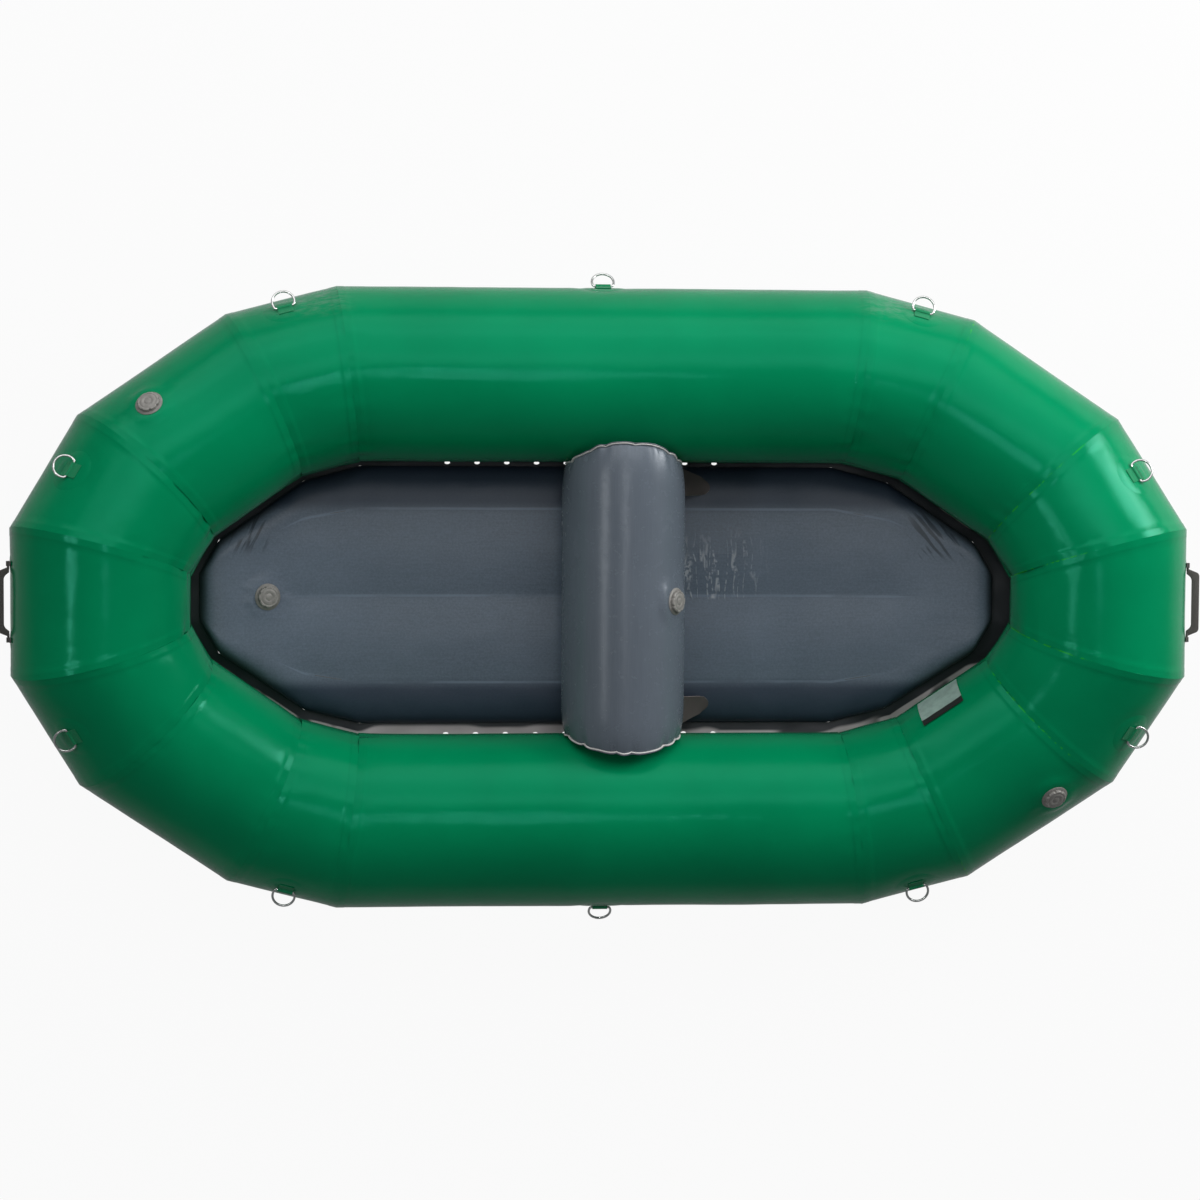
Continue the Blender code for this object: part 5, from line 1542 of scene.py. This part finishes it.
class RAFT_OT_valves(bpy.types.Operator):
    """Make the four inflation valves' bodies and caps, and finish what they hold"""

    bl_idname = "raft.valves"
    bl_label = "Valves"

    def execute(self, context):
        for name, place in VALVE_PLACES.items():
            body = valve_body()
            body.transform(place)
            piece(f"{name}_flange", body, "valve_plastic", replaced=(f"{name}_body",))
            cap = valve_cap()
            cap.transform(place)
            piece(f"{name}_lid", cap, "cap_plastic", body=f"{name}_cap",
                  replaced=(f"{name}_cap",))
            for part, finish in KEPT_PARTS:
                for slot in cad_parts[f"{name}_{part}"].material_slots:
                    slot.material = finish_of(finish)
        return {"FINISHED"}


# The label

LABEL_WIDTH = 0.118
LABEL_LENGTH = 0.112
LABEL_SKEW = 0.008
LABEL_SHIFT = 0.017
LABEL_ANGLE = math.radians(176)  # of its lower edge, on the inner side of the tube
LABEL_LIFT = 0.0022
LABEL_CURL = 0.0014


class RAFT_OT_label(bpy.types.Operator):
    """Make the bare label on the inner side of the starboard bow quarter"""

    bl_idname = "raft.label"
    bl_label = "Label"

    def execute(self, context):
        panel = PANELS["bow_starboard_quarter"]

        def place(across, along):
            edge = max(abs(across) / (LABEL_WIDTH / 2), abs(along / LABEL_LENGTH - 0.5) * 2)
            lift = LABEL_LIFT + LABEL_CURL * edge**6 + 0.0006 * wave(across * 50, along * 50, 2)
            slide = LABEL_SHIFT + across + LABEL_SKEW * along / LABEL_LENGTH
            return panel.surface(LABEL_ANGLE - along / TUBE_RADIUS, slide, lift), (across, along)

        bm = laid_grid(spread(-LABEL_WIDTH / 2, LABEL_WIDTH / 2, 24), spread(0, LABEL_LENGTH, 30), place)
        label = piece("bare_label", bm, "label_fabric", wall=0.0006,
                      facing=panel.radial(LABEL_ANGLE - 0.3))
        return {"FINISHED"}


# The stage

LAMPS = (  # name, place, what it looks at, width and length, power
    ("overhead_strip", (-0.07, 0.55, 6.5), (-0.07, 0.55, 0), (0.75, 0.05), 19),
    ("port_window", (0.0, 2.8, 2.6), (0, 0.4, 0.2), (5.0, 1.5), 32),
    ("port_skylight", (0.0, 1.9, 3.8), (0, 0.4, 0.2), (5.0, 1.1), 34),
    ("port_low_window", (0.0, 3.4, 1.5), (0, 0.5, 0.2), (6.0, 1.5), 46),
    ("stern_lamp", (-5.2, 0.2, 6.6), (0, 0, 0.2), (0.4, 0.5), 44),
    ("bow_port_window", (3.7, 1.9, 1.6), (0.9, 0.2, 0.3), (1.7, 1.6), 112),
)
SKY_COLOUR = (0.94, 0.98, 1.0, 1)
GROUND_COLOUR = (0.50, 0.50, 0.50)
GROUND_WHITE = 0.94  # how near to white the camera sees the ground
GLOSSY_SHARE = 0.12  # how much of the white ground a gloss shows
STUDIO_RADIUS = 40
STUDIO_WALL = 7
STUDIO_COVE = 2.0


class RaftStage(bpy.types.PropertyGroup):
    """The camera, the lamps and the floor that the raft stands on."""

    eye: bpy.props.FloatVectorProperty(
        name="Camera", description="Place of the camera", default=(-0.636, 0.428, 8.0), unit="LENGTH"
    )
    tilt: bpy.props.FloatVectorProperty(
        name="Tilt", description="The camera's turn about X, Y and Z", default=(-0.05578, -0.08095, 0.00515),
        unit="ROTATION",
    )
    focal: bpy.props.FloatProperty(
        name="Focal share", description="Focal length as a share of the sensor's width", default=2.5692
    )
    sky: bpy.props.FloatProperty(name="Sky", description="Strength of the even light", default=0.18)
    lamps: bpy.props.FloatProperty(name="Lamps", description="Strength of all the lamps", default=1.0)


def studio_ground():
    """A pale surface that cameras, gloss and glass see as nearly white, with the shadow kept."""
    look = Look("raft_studio_floor", {"Roughness": 0.9, "Specular IOR Level": 0.1})
    cloud = look.grain(look.place(), 0.8)
    look.set(look.mix(cloud, shade(GROUND_COLOUR, 0.99), GROUND_COLOUR), 0.88 + cloud * 0.06)
    seen = look.node("LightPath", output=0)
    for output, share in ((3, GLOSSY_SHARE), (6, 1.0)):
        seen = seen.or_more(look.node("LightPath", output=output) * share)
    glow = look.node("Emission", {}, ((1, 1, 1), 1.0))
    mixed = look.node("MixShader", {}, (seen * GROUND_WHITE, Socket(look, look.shader.outputs[0]), glow))
    look.feed(look.tree.nodes["Material Output"].inputs["Surface"], mixed)
    return look.material


def studio_floor():
    """A round floor that curves up into a low wall."""
    bm = bmesh.new()
    bmesh.ops.create_circle(bm, cap_ends=True, segments=96, radius=STUDIO_RADIUS)
    rim = [edge for edge in bm.edges if edge.is_boundary]
    raised = verts_of(bmesh.ops.extrude_edge_only(bm, edges=rim)["geom"])
    bmesh.ops.translate(bm, verts=raised, vec=(0, 0, STUDIO_WALL))
    round_edges(bm, rim, STUDIO_COVE, 8)
    mesh = new_mesh("studio_floor", bm)
    mesh.shade_smooth()
    mesh.materials.append(studio_ground())
    return new_object("studio_floor", mesh)


def photo_camera(settings):
    data = bpy.data.cameras.new("photo_view")
    data.sensor_fit = "HORIZONTAL"
    data.sensor_width = 36
    data.lens = data.sensor_width * settings.focal
    data.clip_end = 200
    camera = new_object("photo_view", data)
    turns = [Matrix.Rotation(angle, 4, axis) for angle, axis in zip(settings.tilt, "XYZ")]
    camera.matrix_world = Matrix.Translation(settings.eye) @ turns[2] @ turns[1] @ turns[0]
    return camera


def studio_lamp(name, place, target, size, power):
    data = bpy.data.lights.new(name, "AREA")
    data.shape = "RECTANGLE"
    data.size, data.size_y = size
    data.energy = power
    lamp = new_object(name, data)
    away = Vector(place) - Vector(target)
    lamp.matrix_world = Matrix.Translation(place) @ away.to_track_quat("Z", "Y").to_matrix().to_4x4()
    lamp.visible_camera = False


class RAFT_OT_stage(bpy.types.Operator):
    """Make the floor, the backdrop, the lamps and the camera"""

    bl_idname = "raft.stage"
    bl_label = "Stage"

    def execute(self, context):
        scene = context.scene
        settings = scene.raft_stage
        scene.view_settings.view_transform = "Standard"
        scene.camera = photo_camera(settings)
        studio_floor()
        for name, place, target, size, power in LAMPS:
            studio_lamp(name, place, target, size, power * settings.lamps)
        scene.world = bpy.data.worlds.new("studio_sky")
        scene.world.use_nodes = True
        sky = scene.world.node_tree.nodes["Background"]
        sky.inputs["Color"].default_value = SKY_COLOUR
        sky.inputs["Strength"].default_value = settings.sky
        return {"FINISHED"}


PIECE_OPERATORS = (
    RAFT_OT_stage, RAFT_OT_tubes, RAFT_OT_webs, RAFT_OT_rings, RAFT_OT_handles, RAFT_OT_floor, RAFT_OT_skirt,
    RAFT_OT_thwart, RAFT_OT_valves, RAFT_OT_label,
)


class RAFT_PT_sidebar(bpy.types.Panel):
    """Lists the raft's operators."""

    bl_idname = "RAFT_PT_sidebar"
    bl_label = "Self-bailing raft"
    bl_space_type = "VIEW_3D"
    bl_region_type = "UI"
    bl_category = "Raft"

    def draw(self, context):
        for operator in PIECE_OPERATORS:
            self.layout.operator(operator.bl_idname)


GROUPS = {
    "raft_colours": RaftColours, "raft_tube": RaftTube, "raft_floor": RaftFloor, "raft_thwart": RaftThwart,
    "raft_stage": RaftStage,
}
CLASSES = (*GROUPS.values(), *PIECE_OPERATORS, RAFT_PT_sidebar)


def register():
    for cls in CLASSES:
        bpy.utils.register_class(cls)
    for name, group in GROUPS.items():
        setattr(bpy.types.Scene, name, bpy.props.PointerProperty(type=group))


def unregister():
    for name in GROUPS:
        delattr(bpy.types.Scene, name)
    for cls in reversed(CLASSES):
        bpy.utils.unregister_class(cls)


def main():
    register()
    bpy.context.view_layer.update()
    for operator in PIECE_OPERATORS:
        group, name = operator.bl_idname.split(".")
        getattr(getattr(bpy.ops, group), name)()


if __name__ == "__main__":
    main()
